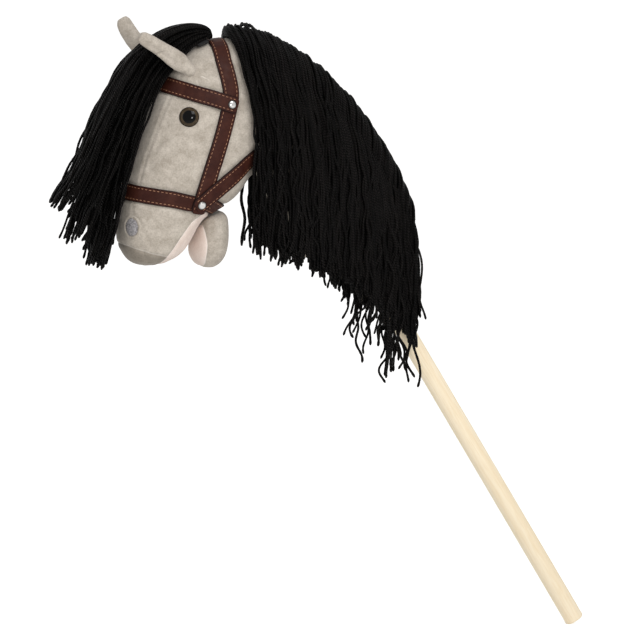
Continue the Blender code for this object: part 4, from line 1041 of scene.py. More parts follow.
def layStrap(name, tree, closed, nodes):
    middle = evenMiddle(tree, strapRoute(routes[name]), closed)
    count = len(middle)
    evenings = bridle["evenings"]
    centres = ease(np.array([hit for hit, _ in middle]), evenings["centre"], closed)
    normals = unit(ease(np.array([normal for _, normal in middle]), evenings["normal"], closed))
    forward = np.roll(centres, -1, axis=0) - np.roll(centres, 1, axis=0)
    if not closed:
        forward[0] = centres[1] - centres[0]
        forward[-1] = centres[-1] - centres[-2]
    sides = unit(np.cross(normals, unit(forward)))
    corner = bridle["corner"]
    rows, slopes, needs, insets, tops = [], [], [], [], []
    for i in range(count):
        fromEnd = min(i, count - 1 - i) * bridle["pitch"]
        half = bridle["width"] / 2
        if not closed and fromEnd < corner:
            half -= corner - (corner ** 2 - (corner - fromEnd) ** 2) ** 0.5
        across, top, inset = strapSection(half)
        row, slope, need = pressRow(tree, Vector(centres[i]), Vector(normals[i]), Vector(sides[i]), across)
        rows.append(row)
        slopes.append(slope)
        needs.append(need)
        insets.append(inset if closed else np.minimum(inset, fromEnd + bridle["endInset"]))
        tops.append(top)
    rests = strapRests(needs, closed)
    rows = ease(np.array(rows), evenings["row"], closed)
    slopes = unit(ease(np.array(slopes), evenings["normal"], closed) + 2.0 * normals[:, None, :])
    over = rows + slopes * (rests + np.array(tops)[:, :, None] * mm)
    rings = np.concatenate([rows + slopes * rests, over[:, ::-1]], axis=1)
    number = rings.shape[1]
    index = np.arange(count * number).reshape(count, number)
    faces = [list(face) for face in ringQuads(np.vstack([index, index[:1]]) if closed else index)]
    if not closed:
        for row in (0, count - 1):
            base = row * number
            for k in range(number // 2 - 1):
                face = [base + k, base + k + 1, base + number - 2 - k, base + number - 1 - k]
                faces.append(face if row else face[::-1])
    stitches, stitchSides = stitchLines(over, slopes, closed, count * number)
    mesh = bpy.data.meshes.new(name)
    mesh.from_pydata(np.concatenate([rings.reshape(-1, 3)] + stitches), [], faces + stitchSides)
    mesh.shade_smooth()
    item = addPiece(name, mesh, leatherette, thread)
    materialOf = np.zeros(len(mesh.polygons), np.int32)
    materialOf[len(faces):] = 1
    mesh.polygons.foreach_set("material_index", materialOf)
    edgeValues = np.full(len(mesh.vertices), bridle["farFromEdge"])
    insets = np.array(insets)
    edgeValues[:count * number] = np.concatenate([np.zeros_like(insets), insets[:, ::-1]], axis=1).ravel()
    addAttribute(mesh, "edge", edgeValues)
    with editing(mesh) as shape:
        bmesh.ops.recalc_face_normals(shape, faces=shape.faces)
    mesh.set_sharp_from_angle(angle=radians(50))
    settle(item, "horse", "strap", *nodes)
    laidTrees.append(treeOf(item))
    print(name, "laid,", count, "rows")


skinTree = treeOf(skin)
layStrap("noseStrap", skinTree, True, ["noseband"])
layStrap("crownStrap", skinTree, False, ["crown_strap"])
layStrap("browStrap", skinTree, False, ["browband"])
layStrap("neckRein", skinTree, False, ["rein"])


def pressUnder(item, press):
    # the plush gives way under the straps and rises softly beside them
    points = pointsOf(item.data)
    normals = normalsOf(item.data)
    reach = press["reach"] * mm
    for i, point in enumerate(points):
        nearest = reach
        for tree in laidTrees:
            hit = tree.find_nearest(Vector(point), nearest)
            if hit[0] is not None:
                nearest = min(nearest, hit[3])
        share = 1.0 - nearest / reach
        points[i] -= normals[i] * (press["depth"] * mm * min(1.0, share * press["gain"]) ** press["power"])
    movePoints(item.data, points)


pressUnder(skin, bridle["press"])


# Rivets, eyes and nostrils
def turnedMesh(name, profile, sides):
    # a profile of radius and height in mm, turned about Z from top to bottom
    mesh = bpy.data.meshes.new(name)
    points = [(radius * mm, 0.0, height * mm) for radius, height in profile]
    mesh.from_pydata(points, [(i, i + 1) for i in range(len(points) - 1)], [])
    item = addPiece(name, mesh)
    applyModifier(item, "SCREW", axis="Z", steps=sides, render_steps=sides, use_merge_vertices=True,
                  merge_threshold=0.00001)
    item.data.shade_smooth()
    return item


def standOn(item, point, normal):
    item.data.transform(Matrix.Translation(point) @ normal.to_track_quat("Z", "Y").to_matrix().to_4x4())


def arc(radius, height, base, steps):
    # a quarter of an ellipse from its top to its side
    angles = np.radians(np.linspace(90.0, 0.0, steps))
    return [(radius * cos(a), base + height * sin(a)) for a in angles]


rivet = {
    "radius": 5.6,                 # mm
    "height": 2.6,
    "edge": 0.5,
    "sides": 48,
    "tail": (1.8, 1.0),            # radius of its tail, and how far it goes into the plush
    "brow": (-484.5, 694.5),       # x and z
    "cheek": (-526.0, 568.5),
}
eye = {
    "x": -540.0,
    "z": 680.0,
    "radius": 12.9,                # mm
    "dome": 6.5,
    "rim": 1.2,
    "pupil": 8.7,
    "iris": 11.9,
    "sides": 72,
    "seat": 2.4,                   # mm of its flat back in the plush
    "sunk": 0.6,
    "shank": (2.5, 12.0),          # radius and length of the pin that its washer holds
}
nostril = {
    "x": -617.0,
    "y": 36.0,
    "z": 538.0,
    "long": 11.5,
    "short": 9.6,
    "thickness": 1.3,
    "flatter": 0.8,                # share of its thickness that shows, less what lies in the plush
    "below": 0.3,
    "turn": 40.0,                  # degrees that it faces forwards
    "rim": 0.9,                    # mm that the plush rises round the patch
    "rimAt": 2.2,
    "rimWidth": 1.3,
    "sunk": 0.9,                   # mm that the plush is drawn in under the patch and at its edge
    "sides": 48,
    "wobble": (0.025, 0.02),       # shares by which its hand-cut outline wavers
    "profile": ((0.04, 1.15), (0.25, 1.12), (0.45, 1.06), (0.63, 0.98), (0.78, 0.85), (0.9, 0.62),
                (0.98, 0.25), (1.0, -0.3), (0.94, -1.1)),
}


def makeRivet(name, place, side, node):
    point, normal = castOn(skinTree, Vector((place[0], 0, place[1])) * mm, side, casts["side"])
    top = heightOver(point, normal) / mm
    radius, edge = rivet["radius"], rivet["edge"]
    profile = arc(radius, rivet["height"] - edge, top + edge, 12)
    tail, depth = rivet["tail"]
    profile += [(radius, top + 0.15), (radius - 0.25, top - 0.1), (tail, top - 0.1), (tail, -depth),
                (0.0, -depth)]
    item = turnedMesh(name, profile, rivet["sides"])
    points = pointsOf(item.data)
    # share of the radius, which places the chrome's painted dark reflection on its rim
    addAttribute(item.data, "rim", np.hypot(points[:, 0], points[:, 1]) / (radius * mm))
    item.data.set_sharp_from_angle(angle=radians(40))
    item.data.materials.append(chrome)
    standOn(item, point, normal)
    settle(item, "horse", "steel", node)


def makeEye(name, side, node):
    point, normal = castOn(skinTree, Vector((eye["x"], 0, eye["z"])) * mm, side, casts["side"])
    radius, rim = eye["radius"], eye["rim"]
    profile = arc(radius - 0.5, eye["dome"] - rim, rim, 24)
    shank, depth = eye["shank"]
    profile += [(radius - 0.15, rim - 0.1), (radius, rim - 0.5), (radius, rim - 0.9), (radius - 0.4, -0.8),
                (radius - 1.4, -eye["seat"]), (shank, -eye["seat"]), (shank, -depth), (0.0, -depth)]
    item = turnedMesh(name, profile, eye["sides"])
    for material in (pupilGloss, irisGloss, rimGloss):
        item.data.materials.append(material)
    for face in item.data.polygons:
        away = Vector((face.center.x, face.center.y)).length / mm
        inIris = away < eye["iris"] and face.center.z > 0
        face.material_index = 0 if away < eye["pupil"] else 1 if inIris else 2
    standOn(item, point - normal * (eye["sunk"] * mm), normal)
    settle(item, "horse", "eye", node)


def nostrilPlace(side):
    turn = radians(nostril["turn"])
    direction = side * cos(turn) - Vector((sin(turn), 0, 0))
    target = (Vector((nostril["x"], 0, nostril["z"])) + side * nostril["y"]) * mm
    point, normal = castOn(skinTree, target, direction, casts["side"])
    upward = (Vector((0, 0, 1)) - normal * normal.z).normalized()
    return point, normal, upward, normal.cross(upward)


def sinkNostril(item, side):
    # a soft rim of plush round the patch
    point, normal, upward, sideways = nostrilPlace(side)
    points = pointsOf(item.data)
    away = points - np.array(point)
    across = away @ np.array(sideways) / (nostril["short"] * mm)
    along = away @ np.array(upward) / (nostril["long"] * mm)
    outside = (np.hypot(across, along) - 1.0) * nostril["short"]
    near = np.abs(away @ np.array(normal)) < casts["near"]
    sunk = nostril["sunk"]
    height = nostril["rim"] * np.exp(-((outside - nostril["rimAt"]) / nostril["rimWidth"]) ** 2)
    height = height - sunk * np.exp(-(outside / sunk) ** 2) - sunk * (outside < 0)
    movePoints(item.data, points + normalsOf(item.data) * (np.where(near, height, 0.0) * mm)[:, None])


def makeNostril(name, side, node):
    point, normal, upward, sideways = nostrilPlace(side)
    slow, quick = nostril["wobble"]
    rings = []
    for share, height in nostril["profile"]:
        ring = []
        for k in range(nostril["sides"]):
            angle = 2 * pi * k / nostril["sides"]
            wobble = 1.0 + slow * sin(5 * angle + 1.0) + quick * sin(9 * angle)
            place = (point + sideways * (nostril["short"] * share * wobble * cos(angle) * mm)
                     + upward * (nostril["long"] * share * wobble * sin(angle) * mm))
            hit, _ = castOn(skinTree, place, normal, casts["near"])
            proud = nostril["thickness"] * height * nostril["flatter"] - nostril["below"]
            ring.append(list(hit + normal * proud * mm))
        rings.append(ring)
    points = np.array(rings).reshape(-1, 3)
    mesh = meshFrom(name, points, ringQuads(np.arange(len(points)).reshape(-1, nostril["sides"])))
    item = addPiece(name, mesh, fleece)
    with editing(mesh) as shape:
        bmesh.ops.holes_fill(shape, edges=shape.edges)
        bmesh.ops.recalc_face_normals(shape, faces=shape.faces)
    settle(item, "horse", "nostril_cloth", node)


for word, side in toSide.items():
    makeRivet("browRivet_" + word, rivet["brow"], side, "brow_rivet_" + word)
    makeRivet("cheekRivet_" + word, rivet["cheek"], side, "cheek_rivet_" + word)
    makeEye("eye_" + word.capitalize(), side, "eye_" + word)
    makeNostril("nostril_" + word.capitalize(), side, "nostril_patch_" + word)
    sinkNostril(skin, side)
print("rivets, eyes and nostrils made")

# Seams and panels of head, neck and jaw
found = sewSkin(skin, headValues, ["neckSeam", "base", "lip", "lining", "face", "flare", "throat",
                                   "dartFront", "dartRear"])
lip = panelFrom(skin, "lipBand", np.minimum(found["lip"], -found["lining"]), plushDark)
mouth = panelFrom(skin, "upperMouthLining", found["lining"], lining)
base = panelFrom(skin, "neckBasePanel", -found["base"], plush)
settle(lip, "horse", "plush_dark", "upper_lip")
settle(mouth, "horse", "lining", "upper_mouth_lining")
settle(base, "horse", "plush", "neck_base_panel")


def splitSkin(item, name, row):
    # parts the head's skin from the neck's along their seam, and closes both
    rear = addPiece(name, item.data.copy())
    for piece, keep in ((item, -1.0), (rear, 1.0)):
        with editing(piece.data) as shape:
            away = [face for face in shape.faces if keep * np.mean([row[v.index] for v in face.verts]) <= 0.0]
            bmesh.ops.delete(shape, geom=away, context="FACES")
            edges = [edge for edge in shape.edges if edge.is_boundary]
            for face in bmesh.ops.edgeloop_fill(shape, edges=edges)["faces"]:
                face.smooth = False
                for edge in face.edges:
                    edge.smooth = False
    return rear


neck = splitSkin(skin, "neckSkin", found["neckSeam"])
for item, node in ((skin, "head"), (neck, "neck")):
    item.data.materials.clear()
    item.data.materials.append(plush)
    settle(item, "horse", "plush", node)

found = sewSkin(jaw, jawValues, ["jawLining", "chin"])
jawLining = panelFrom(jaw, "lowerMouthLining", found["jawLining"], lining)
settle(jawLining, "horse", "lining", "lower_mouth_lining")
jaw.data.materials.append(plush)
settle(jaw, "horse", "plush", "lower_jaw")
print("plush sewn")

# Ears
ears = {
    "voxel": 1.4,                  # mm
    "smoothing": 5,
    "swell": 0.4,                  # mm that smoothing took away
    "wider": {"left": 1.0, "right": 1.2},
    "widerFrom": 8.0,              # mm from its root
    "widerOver": 20.0,
    "crease": ((53.0, -11.0), (47.0, -1.0)),        # mm along and across, where the leaf is rolled in
    "creaseDepth": 2.6,
    "creaseWidth": 1.8,
    "dimple": (80.0, 2.0),         # mm along and across, near the tip
    "dimpleDepth": 1.2,
    "dimpleWidth": 2.2,
    "bendFrom": 4.0,               # mm below and above the ear's hinge
    "bendTo": 30.0,
    "fill": 0.4,
    "farFromSeam": 9.0,            # its cloth has no seam that shows
}


def makeEar(word):
    item = joinedSolids("ear_" + word.capitalize(), ["ear_" + word])
    applyModifier(item, "REMESH", mode="VOXEL", voxel_size=ears["voxel"] * mm)
    applyModifier(item, "SMOOTH", factor=0.5, iterations=ears["smoothing"])
    item.data.shade_smooth()
    item.data.materials.append(plush)
    addAttribute(item.data, "seam", np.full(len(item.data.vertices), ears["farFromSeam"]))
    centre = earCentre(word)
    points = pointsOf(item.data) + normalsOf(item.data) * (ears["swell"] * mm)
    tip = Vector(points[np.argmax(np.linalg.norm(points - np.array(centre), axis=1))])
    along = (tip - centre).normalized()
    side = toSide[word]
    thick = (side - along * side.dot(along)).normalized()
    wide = along.cross(thick)
    wide = wide if wide.z > 0 else -wide
    away = (points - np.array(centre)) / mm
    reach, across, out = away @ np.array(along), away @ np.array(wide), away @ np.array(thick)
    more = (ears["wider"][word] - 1.0) * np.clip((reach - ears["widerFrom"]) / ears["widerOver"], 0.0, 1.0)
    points += np.array(wide) * (across * more * mm)[:, None]
    flat = np.stack([reach, across], axis=1)
    share, offset = toSegment(flat, *np.array(ears["crease"]))
    near = np.linalg.norm(offset, axis=1) / ears["creaseWidth"]
    dent = ears["creaseDepth"] * (1.0 - 0.5 * share) * np.exp(-near ** 2)
    near = np.linalg.norm(flat - ears["dimple"], axis=1) / ears["dimpleWidth"]
    dent += ears["dimpleDepth"] * np.exp(-near ** 2)
    points -= normalsOf(item.data) * (dent * (out > -1.0) * mm)[:, None]
    movePoints(item.data, points)
    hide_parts("ear_" + word)
    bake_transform(item)


for word in toSide:
    makeEar(word)
print("ears made")

# Yarn
yarn = {
    "radius": 1.6,                 # mm
    "coarseRadius": 2.1,           # of the strands that are covered by others
    "row": 2.5,                    # mm from ring to ring along a strand
    "coarseRow": 6.0,
    "sides": 6,
    "thicker": (0.9, 1.1),         # each strand's own share of the radius
    "uneven": 0.05,
    "pinch": 0.6,                  # at the very end, then a fuzzy swelling behind it
    "swell": 0.18,
    "swellAt": 3.0,
    "swellWidth": 2.5,
    "tones": (1.5, 3.0),           # spread of the strands' tones, most of them dark, the brighter ones painted sheen
}
waves = {                          # how a strand wanders as it falls
    "lengths": (26.0, 58.0, 12.0, 6.5),      # mm of fall for one radian of each wave
    "shares": (0.5, 1.0, 0.36, 0.2),
    "lean": 1.2,
    "rise": 200.0,                 # mm of fall by which the quick ones and the lean have grown
}
mane = {
    "crest": [(-474, 783), (-424, 771), (-388, 752), (-352, 724), (-322, 692), (-291, 652), (-264, 606),
              (-243, 556)],
    "length": 276.0,               # mm that a strand falls at the front, and at the last lock
    "lengthEnd": 203.0,
    "lengthPower": 1.6,
    "shorter": 2.0,                # mm, what most strands lack
    "ragged": 8.5,                 # mm, spread of the strands' lengths
    "rootThickness": 13.0,
    "thickness": 11.0,
    "thickAt": 0.3,                # share of its length by which it has that thickness
    "clearance": 4.4,              # mm over plush and straps
    "strapClearance": 1.0,
    "evenOver": 9,                 # points over which its distance from the plush is evened
    "least": 0.8,                  # mm that a strand stands out at least
    "drift": {-1.0: 24.0, 1.0: 52.0},       # by side: the right side's front is swept further back
    "driftEnd": 18.0,              # mm that it hangs further back than its root
    "fan": 5.0,                    # mm that the front strands lean forwards over the crown strap
    "fanShare": 0.14,
    "driftFall": 0.55,
    "arch": 34.0,                  # mm of fall in which a strand bends over the crest
    "archReach": 30.0,
    "locks": 8,
    "strands": 15,                 # side by side in one layer of a lock
    "layers": (1.9, 5.2, 8.6),     # mm from the outside in
    "hump": 1.6,                   # mm that the middle of a bundle stands out
    "humpSpread": 0.4,
    "humpOut": 0.6,
    "bundle": 5,                   # strands that hang together
    "gather": 0.2,
    "crestRun": 230.0,             # mm that the crest covers from front to back
    "aim": 40.0,
    "thinFrom": 0.72,              # share of the crest from which the mane thins out to single strands
    "thinBundle": 34.0,            # mm by which whole bundles get shorter there, and then single strands
    "thinStrand": 46.0,
    "longStrands": 13,
    "long": (24.0, 66.0),          # mm past the others
    "longSpread": 1.4,             # locks over which they are spread
    "curls": 9,                    # loose strands that curl forwards before the long ones
    "curlReach": (6.0, 22.0),
    "curlPower": 1.7,
    "curlSpread": 0.8,
    "curlLong": (8.0, 40.0),
    "curlWander": 2.4,
    "tuft": 7,                     # strands that stand up behind the crown strap
    "tuftShare": 0.11,
    "tuftLift": (1.0, 5.0),
    "crosserWander": 3.4,          # one strand of each lock crosses over the others
    "crosserDepth": -0.4,
    "scatter": 0.3,
    "depthScatter": 0.5,
    "bundleWander": 1.8,
    "wander": 2.1,
    "points": 160,
    "crowding": 1.6,               # the points crowd near the crest
    "proud": 0.6,                  # mm between crest and strand
    "bareCrest": 2.6,              # mm to the strand where no strap is under it
    "swayFrom": 60.0,
    "fanAt": 25.0,
    "fanWidth": 60.0,
    "looseFrom": 0.72,             # share of its length from which a strand hangs loose
    "looseSpread": 2.2,
    "sewnIn": 2.6,                 # mm that it is drawn in where it is sewn to its tape
    "sewnWidth": 3.5,
}
forelock = {
    "root": (-498.0, 776.0),       # under the crown strap's front edge
    "layers": (
        ((-503, 782), (-521, 776), (-544, 760), (-568, 738), (-590, 706), (-609, 660), (-625, 610),
         (-637, 560), (-649, 512), (-655, 490)),
        ((-503, 787), (-523, 783), (-549, 770), (-579, 744), (-604, 706), (-627, 656), (-649, 602),
         (-669, 556), (-684, 518)),
        ((-503, 792), (-526, 791), (-558, 782), (-594, 757), (-624, 716), (-649, 665), (-669, 618),
         (-688, 587), (-705, 563)),
    ),
    "rootBend": 0.25,
    "halfWidths": (12.0, 14.0, 17.0, 24.0, 32.0, 38.0, 40.0, 38.0, 34.0),
    "droop": 6.0,                  # mm that a layer's sides lie lower than its middle
    "ends": ((-30.0, 6.0), (-34.0, 6.0), (-36.0, 2.0)),       # mm of each layer's strands past its curve
    "wander": 1.7,
    "lifts": (0.62, -0.55),        # the two rows of strands in a layer, as shares of half its thickness
    "liftSpread": 0.14,
    "strands": 26,                 # in a row
    "inset": 1.8,
    "scatter": 0.35,
    "thickness": 11.0,
    "rootThickness": 4.2,
    "thickAt": 0.35,
    "loosePast": 130.0,            # mm from the root
    "loosePower": 1.5,
    "acrossWander": 1.6,
    "stray": 0.14,                 # share of the outer layer's strands that stand off
    "strayHeight": 4.0,
    "strayPower": 1.4,             # above 1 it stands off most past its middle
}


def strandMesh(paths, reference, radius, sides):
    # skins many strands at once, and notes the place round and along each, and its own tone, its share of
    # painted sheen
    allPoints, allQuads, arounds, tones = [], [], [], []
    total = 0
    angles = 2 * pi * np.arange(sides) / sides
    for path in paths:
        count = len(path)
        along = unit(np.gradient(path, axis=0))
        first = unit(reference - along * (along @ reference)[:, None])
        second = np.cross(along, first)
        lengths = lengthsOf(path) / mm
        size = radius * dice.uniform(*yarn["thicker"]) * (1.0 + dice.normal(0, yarn["uneven"], count))
        fromEnd = np.minimum(lengths, lengths[-1] - lengths)
        swell = yarn["swell"] * np.exp(-((fromEnd - yarn["swellAt"]) / yarn["swellWidth"]) ** 2)
        size *= np.where(fromEnd < 1.0, yarn["pinch"], 1.0 + swell)
        u = np.cos(angles)[None, :] * size[:, None] * mm
        v = np.sin(angles)[None, :] * size[:, None] * mm
        points = path[:, None, :] + first[:, None, :] * u[..., None] + second[:, None, :] * v[..., None]
        around = np.empty((count, sides, 3))
        around[..., 0] = np.cos(angles)[None, :]
        around[..., 1] = np.sin(angles)[None, :]
        around[..., 2] = lengths[:, None]
        arounds.append(around.reshape(-1, 3))
        tones.append(np.full(count * sides, dice.beta(*yarn["tones"])))
        index = np.arange(count * sides).reshape(count, sides) + total
        start, end = index[0], index[-1]
        caps = np.array([[start[3], start[2], start[1], start[0]], [start[5], start[4], start[3], start[0]],
                         [end[0], end[1], end[2], end[3]], [end[0], end[3], end[4], end[5]]])
        allPoints.append(points.reshape(-1, 3))
        allQuads += [ringQuads(index), caps]
        total += count * sides
    return [np.concatenate(rows) for rows in (allPoints, allQuads, arounds, tones)]


def yarnPiece(name, bundles, nodes):
    made = [strandMesh(paths, reference, radius, yarn["sides"]) for paths, reference, radius in bundles]
    total = 0
    for rows in made:
        rows[1] = rows[1] + total
        total += len(rows[0])
    points, quads, arounds, tones = [np.concatenate(rows) for rows in zip(*made)]
    item = addPiece(name, meshFrom(name, points, quads), blackYarn)
    attribute = item.data.attributes.new("around", "FLOAT_VECTOR", "POINT")
    attribute.data.foreach_set("vector", arounds.astype(np.float32).ravel())
    addAttribute(item.data, "tone", tones)
    settle(item, "horse", "yarn", *nodes)


reachStep = 4.0
reachGrid = {"x": np.arange(-520.0, -170.0, reachStep), "z": np.arange(440.0, 800.0, reachStep)}


def measureReach(trees):
    # how far plush and straps stand out to each side, seen from that side
    for way in (-1.0, 1.0):
        table = np.zeros((len(reachGrid["x"]), len(reachGrid["z"])))
        side = Vector((0, way, 0))
        for i, x in enumerate(reachGrid["x"]):
            for j, z in enumerate(reachGrid["z"]):
                for tree, room in trees:
                    start = Vector((x * mm, way * casts["mane"], z * mm))
                    hit = tree.ray_cast(start, -side, casts["mane"])[0]
                    if hit is not None:
                        table[i, j] = max(table[i, j], abs(hit.y) / mm + room)
        reachGrid[way] = table


def reachAt(way, x, z):
    table = reachGrid[way]
    i = np.clip((x - reachGrid["x"][0]) / reachStep, 0, len(reachGrid["x"]) - 1.001)
    j = np.clip((z - reachGrid["z"][0]) / reachStep, 0, len(reachGrid["z"]) - 1.001)
    a, b = i.astype(int), j.astype(int)
    u, v = i - a, j - b
    return (table[a, b] * (1 - u) * (1 - v) + table[a + 1, b] * u * (1 - v)
            + table[a, b + 1] * (1 - u) * v + table[a + 1, b + 1] * u * v)


crestLine = smoothLine([(x, 0.0, z) for x, z in mane["crest"]], 12)


def crestAt(share):
    place = share * (len(crestLine) - 1)
    i = min(max(int(place), 0), len(crestLine) - 2)
    point = Vector(crestLine[i]).lerp(Vector(crestLine[i + 1]), place - i)
    along = Vector(crestLine[i + 1] - crestLine[i]).normalized()
    outward = Vector((-along.z, 0, along.x))
    hit, _ = castOn(skinTree, (point - outward * mane["aim"]) * mm, outward, casts["crest"])
    height = heightOver(hit, outward)
    return hit / mm, outward, (height / mm if height else mane["bareCrest"])


def maneSide(share, way, depth, length, sway, lift, pull, curl):
    # one side of a strand, from the crest down, in mm
    root, outward, height = crestAt(min(max(share, 0.0), 1.0))
    top = root + outward * (height + mane["proud"] + lift)
    t = np.linspace(0.0, 1.0, mane["points"]) ** mane["crowding"]
    end = np.clip((t - mane["looseFrom"]) / (1.0 - mane["looseFrom"]), 0.0, 1.0)
    fall = t * length
    drift = mane["driftEnd"] + (mane["drift"][way] - mane["driftEnd"]) * (1.0 - share) ** 2
    easing = np.minimum(1.0, fall / (mane["driftFall"] * length))
    fan = mane["fan"] * max(0.0, 1.0 - share / mane["fanShare"])
    x = top.x + drift * easing * (2.0 - easing) + sway(fall) * np.minimum(1.0, fall / mane["swayFrom"])
    x = x + pull * t - fan * np.exp(-((fall - mane["fanAt"]) / mane["fanWidth"]) ** 2)
    x = x - curl * end ** mane["curlPower"]
    z = top.z - fall
    arch = np.minimum(1.0, fall / mane["arch"])
    reach = mane["archReach"] * np.sqrt(1.0 - (1.0 - arch) ** 2)
    reach = np.maximum(reach, reachAt(way, x, z))
    reach = np.maximum.accumulate(reach)
    padded = np.pad(reach, mane["evenOver"] // 2, mode="edge")
    evened = np.convolve(padded, np.ones(mane["evenOver"]) / mane["evenOver"], mode="valid")
    reach = np.maximum(reach * (arch < 1.0), evened)
    reach[0] = 0.0
    tilt = pi / 2 * np.maximum(0.0, 1.0 - fall / mane["arch"])
    grow = np.minimum(1.0, t / mane["thickAt"])
    thickness = mane["rootThickness"] + (mane["thickness"] - mane["rootThickness"]) * grow
    loose = abs(dice.normal(0, mane["looseSpread"])) * end ** 2
    sewn = mane["sewnIn"] * np.exp(-(reach / mane["sewnWidth"]) ** 2) * (fall < mane["arch"])
    out = np.maximum(thickness - depth, mane["least"]) + loose - sewn
    return np.stack([x + outward.x * np.sin(tilt) * out, way * (reach + np.cos(tilt) * out),
                     z + outward.z * np.sin(tilt) * out], axis=1)


def swayOf(scale):
    # a slow, seeded wander of a strand to the front and back
    phases = dice.uniform(0, 2 * pi, 4)
    sizes = dice.normal(0, 1, 4) * scale
    lean = dice.normal(0, 1) * scale * waves["lean"]

    def sway(fall):
        rows = [size * np.sin(fall / length + phase) * share
                for size, length, phase, share in zip(sizes, waves["lengths"], phases, waves["shares"])]
        later = fall / waves["rise"]
        return rows[0] + rows[1] + (rows[2] + rows[3]) * (0.5 + later) + lean * later
    return sway


def maneStrand(share, depth, row, extra=0.0, wander=mane["wander"], lift=0.0, bundle=None, curl=0.0):
    # bundle is the middle of the strands that it hangs with, the sway that they share, and how short they are
    base = mane["length"] + (mane["lengthEnd"] - mane["length"]) * max(share, 0.0) ** mane["lengthPower"]
    hump = lift + dice.normal(0, mane["humpSpread"])
    pull = 0.0
    if bundle is not None:
        apart = (share - bundle[0]) * mane["locks"] * mane["strands"] / mane["bundle"] * 2.0
        hump += mane["hump"] * max(0.0, 1.0 - apart ** 2)
        pull = -mane["gather"] * (share - bundle[0]) * mane["crestRun"]
    halves = []
    thin = max(0.0, share - mane["thinFrom"]) / (1.0 - mane["thinFrom"])
    for number, way in enumerate((-1.0, 1.0)):
        length = base + dice.normal(-mane["shorter"], mane["ragged"]) + extra
        if extra == 0.0:
            length -= thin * mane["thinStrand"] * dice.uniform(0.0, 1.0)
        if bundle is not None:
            length -= thin * mane["thinBundle"] * bundle[2]
        own = swayOf(wander)
        together = bundle[1][number] if bundle is not None else own
        halves.append(maneSide(share, way, depth - hump * mane["humpOut"], length,
                               lambda fall: own(fall) + together(fall), hump, pull, curl))
    return evenly(np.vstack([halves[0][::-1], halves[1][1:]]) * mm, row * mm)


def lockStrands(lock):
    # the strands of one lock in their layers, the inner one coarser
    fine, coarse = [], []
    for layer, depth in enumerate(mane["layers"]):
        inner = layer == len(mane["layers"]) - 1
        bundle, left = None, 0
        for k in range(mane["strands"]):
            if left == 0:
                left = int(dice.integers(mane["bundle"] - 2, mane["bundle"] + 3))
                middle = (lock + (k + left / 2) / mane["strands"]) / mane["locks"]
                ways = (swayOf(mane["bundleWander"]), swayOf(mane["bundleWander"]))
                bundle = (middle, ways, dice.uniform(0.0, 1.0))
            left -= 1
            shift = dice.uniform(-mane["scatter"], mane["scatter"])
            place = (lock + (k + 0.5 + shift) / mane["strands"]) / mane["locks"]
            depthHere = depth + dice.normal(0, mane["depthScatter"])
            row = yarn["coarseRow"] if inner else yarn["row"]
            (coarse if inner else fine).append(maneStrand(place, depthHere, row, bundle=bundle))
    return fine, coarse


def makeMane():
    across = np.array([1.0, 0.0, 0.0])
    row = yarn["row"]
    for lock in range(mane["locks"]):
        fine, coarse = lockStrands(lock)
        if lock == mane["locks"] - 2:
            for k in range(mane["longStrands"]):
                place = (lock + dice.uniform(0.0, mane["longSpread"])) / mane["locks"]
                fine.append(maneStrand(place, 1.0, row, extra=dice.uniform(*mane["long"])))
            for k in range(mane["curls"]):
                place = (lock - dice.uniform(0.0, mane["curlSpread"])) / mane["locks"]
                fine.append(maneStrand(place, 1.0, row, extra=dice.uniform(*mane["curlLong"]),
                                       wander=mane["curlWander"], curl=dice.uniform(*mane["curlReach"])))
        if lock == 0:
            for k in range(mane["tuft"]):
                place = dice.uniform(0.0, mane["tuftShare"])
                fine.append(maneStrand(place, 1.0, row, lift=dice.uniform(*mane["tuftLift"])))
        place = (lock + dice.uniform(0.1, 0.9)) / mane["locks"]
        fine.append(maneStrand(place, mane["crosserDepth"], row, wander=mane["crosserWander"]))
        nodes = ["mane_lock_left_%d" % (lock + 1), "mane_lock_right_%d" % (lock + 1)]
        bundles = [(fine, across, yarn["radius"]), (coarse, across, yarn["coarseRadius"])]
        yarnPiece("maneLock%d" % (lock + 1), bundles, nodes)
    print("mane made")


def forelockStrand(curve, share, lift, extra, stand):
    # share runs from -1 at the layer's right side to 1 at its left, stand is how far it stands off the rest
    rise = curve[0][1] - forelock["root"][1]
    start = [forelock["root"], (curve[0][0], curve[0][1] - forelock["rootBend"] * rise)]
    line = smoothLine([(x, 0.0, z) for x, z in start + list(curve[1:])], 14)
    lengths = lengthsOf(line)
    t = np.linspace(0.0, 1.0, len(line))
    along = unit(np.gradient(line, axis=0))
    outward = np.stack([along[:, 2], np.zeros(len(line)), -along[:, 0]], axis=1)
    half = np.interp(t, np.linspace(0, 1, len(forelock["halfWidths"])), forelock["halfWidths"])
    grow = np.minimum(1.0, t / forelock["thickAt"])
    thickness = forelock["rootThickness"] + (forelock["thickness"] - forelock["rootThickness"]) * grow
    loose = np.minimum(1.0, lengths / forelock["loosePast"]) ** forelock["loosePower"]
    path = line + outward * (lift * thickness / 2 - forelock["droop"] * share ** 2 * grow)[:, None]
    off = stand * np.sin(pi * t ** forelock["strayPower"])
    path += outward * (loose * swayOf(forelock["wander"])(lengths) + off)[:, None]
    path[:, 1] -= share * (half - forelock["inset"]) + loose * swayOf(forelock["acrossWander"])(lengths)
    last = lengths[-1] + extra
    if extra > 0:
        path = np.vstack([path, path[-1] + unit(path[-1] - path[-3]) * extra])
    places = np.concatenate([lengths, [last]]) if extra > 0 else lengths
    keep = np.linspace(0.0, last, int(last / yarn["row"]))
    return lineAt(keep, places, path) * mm


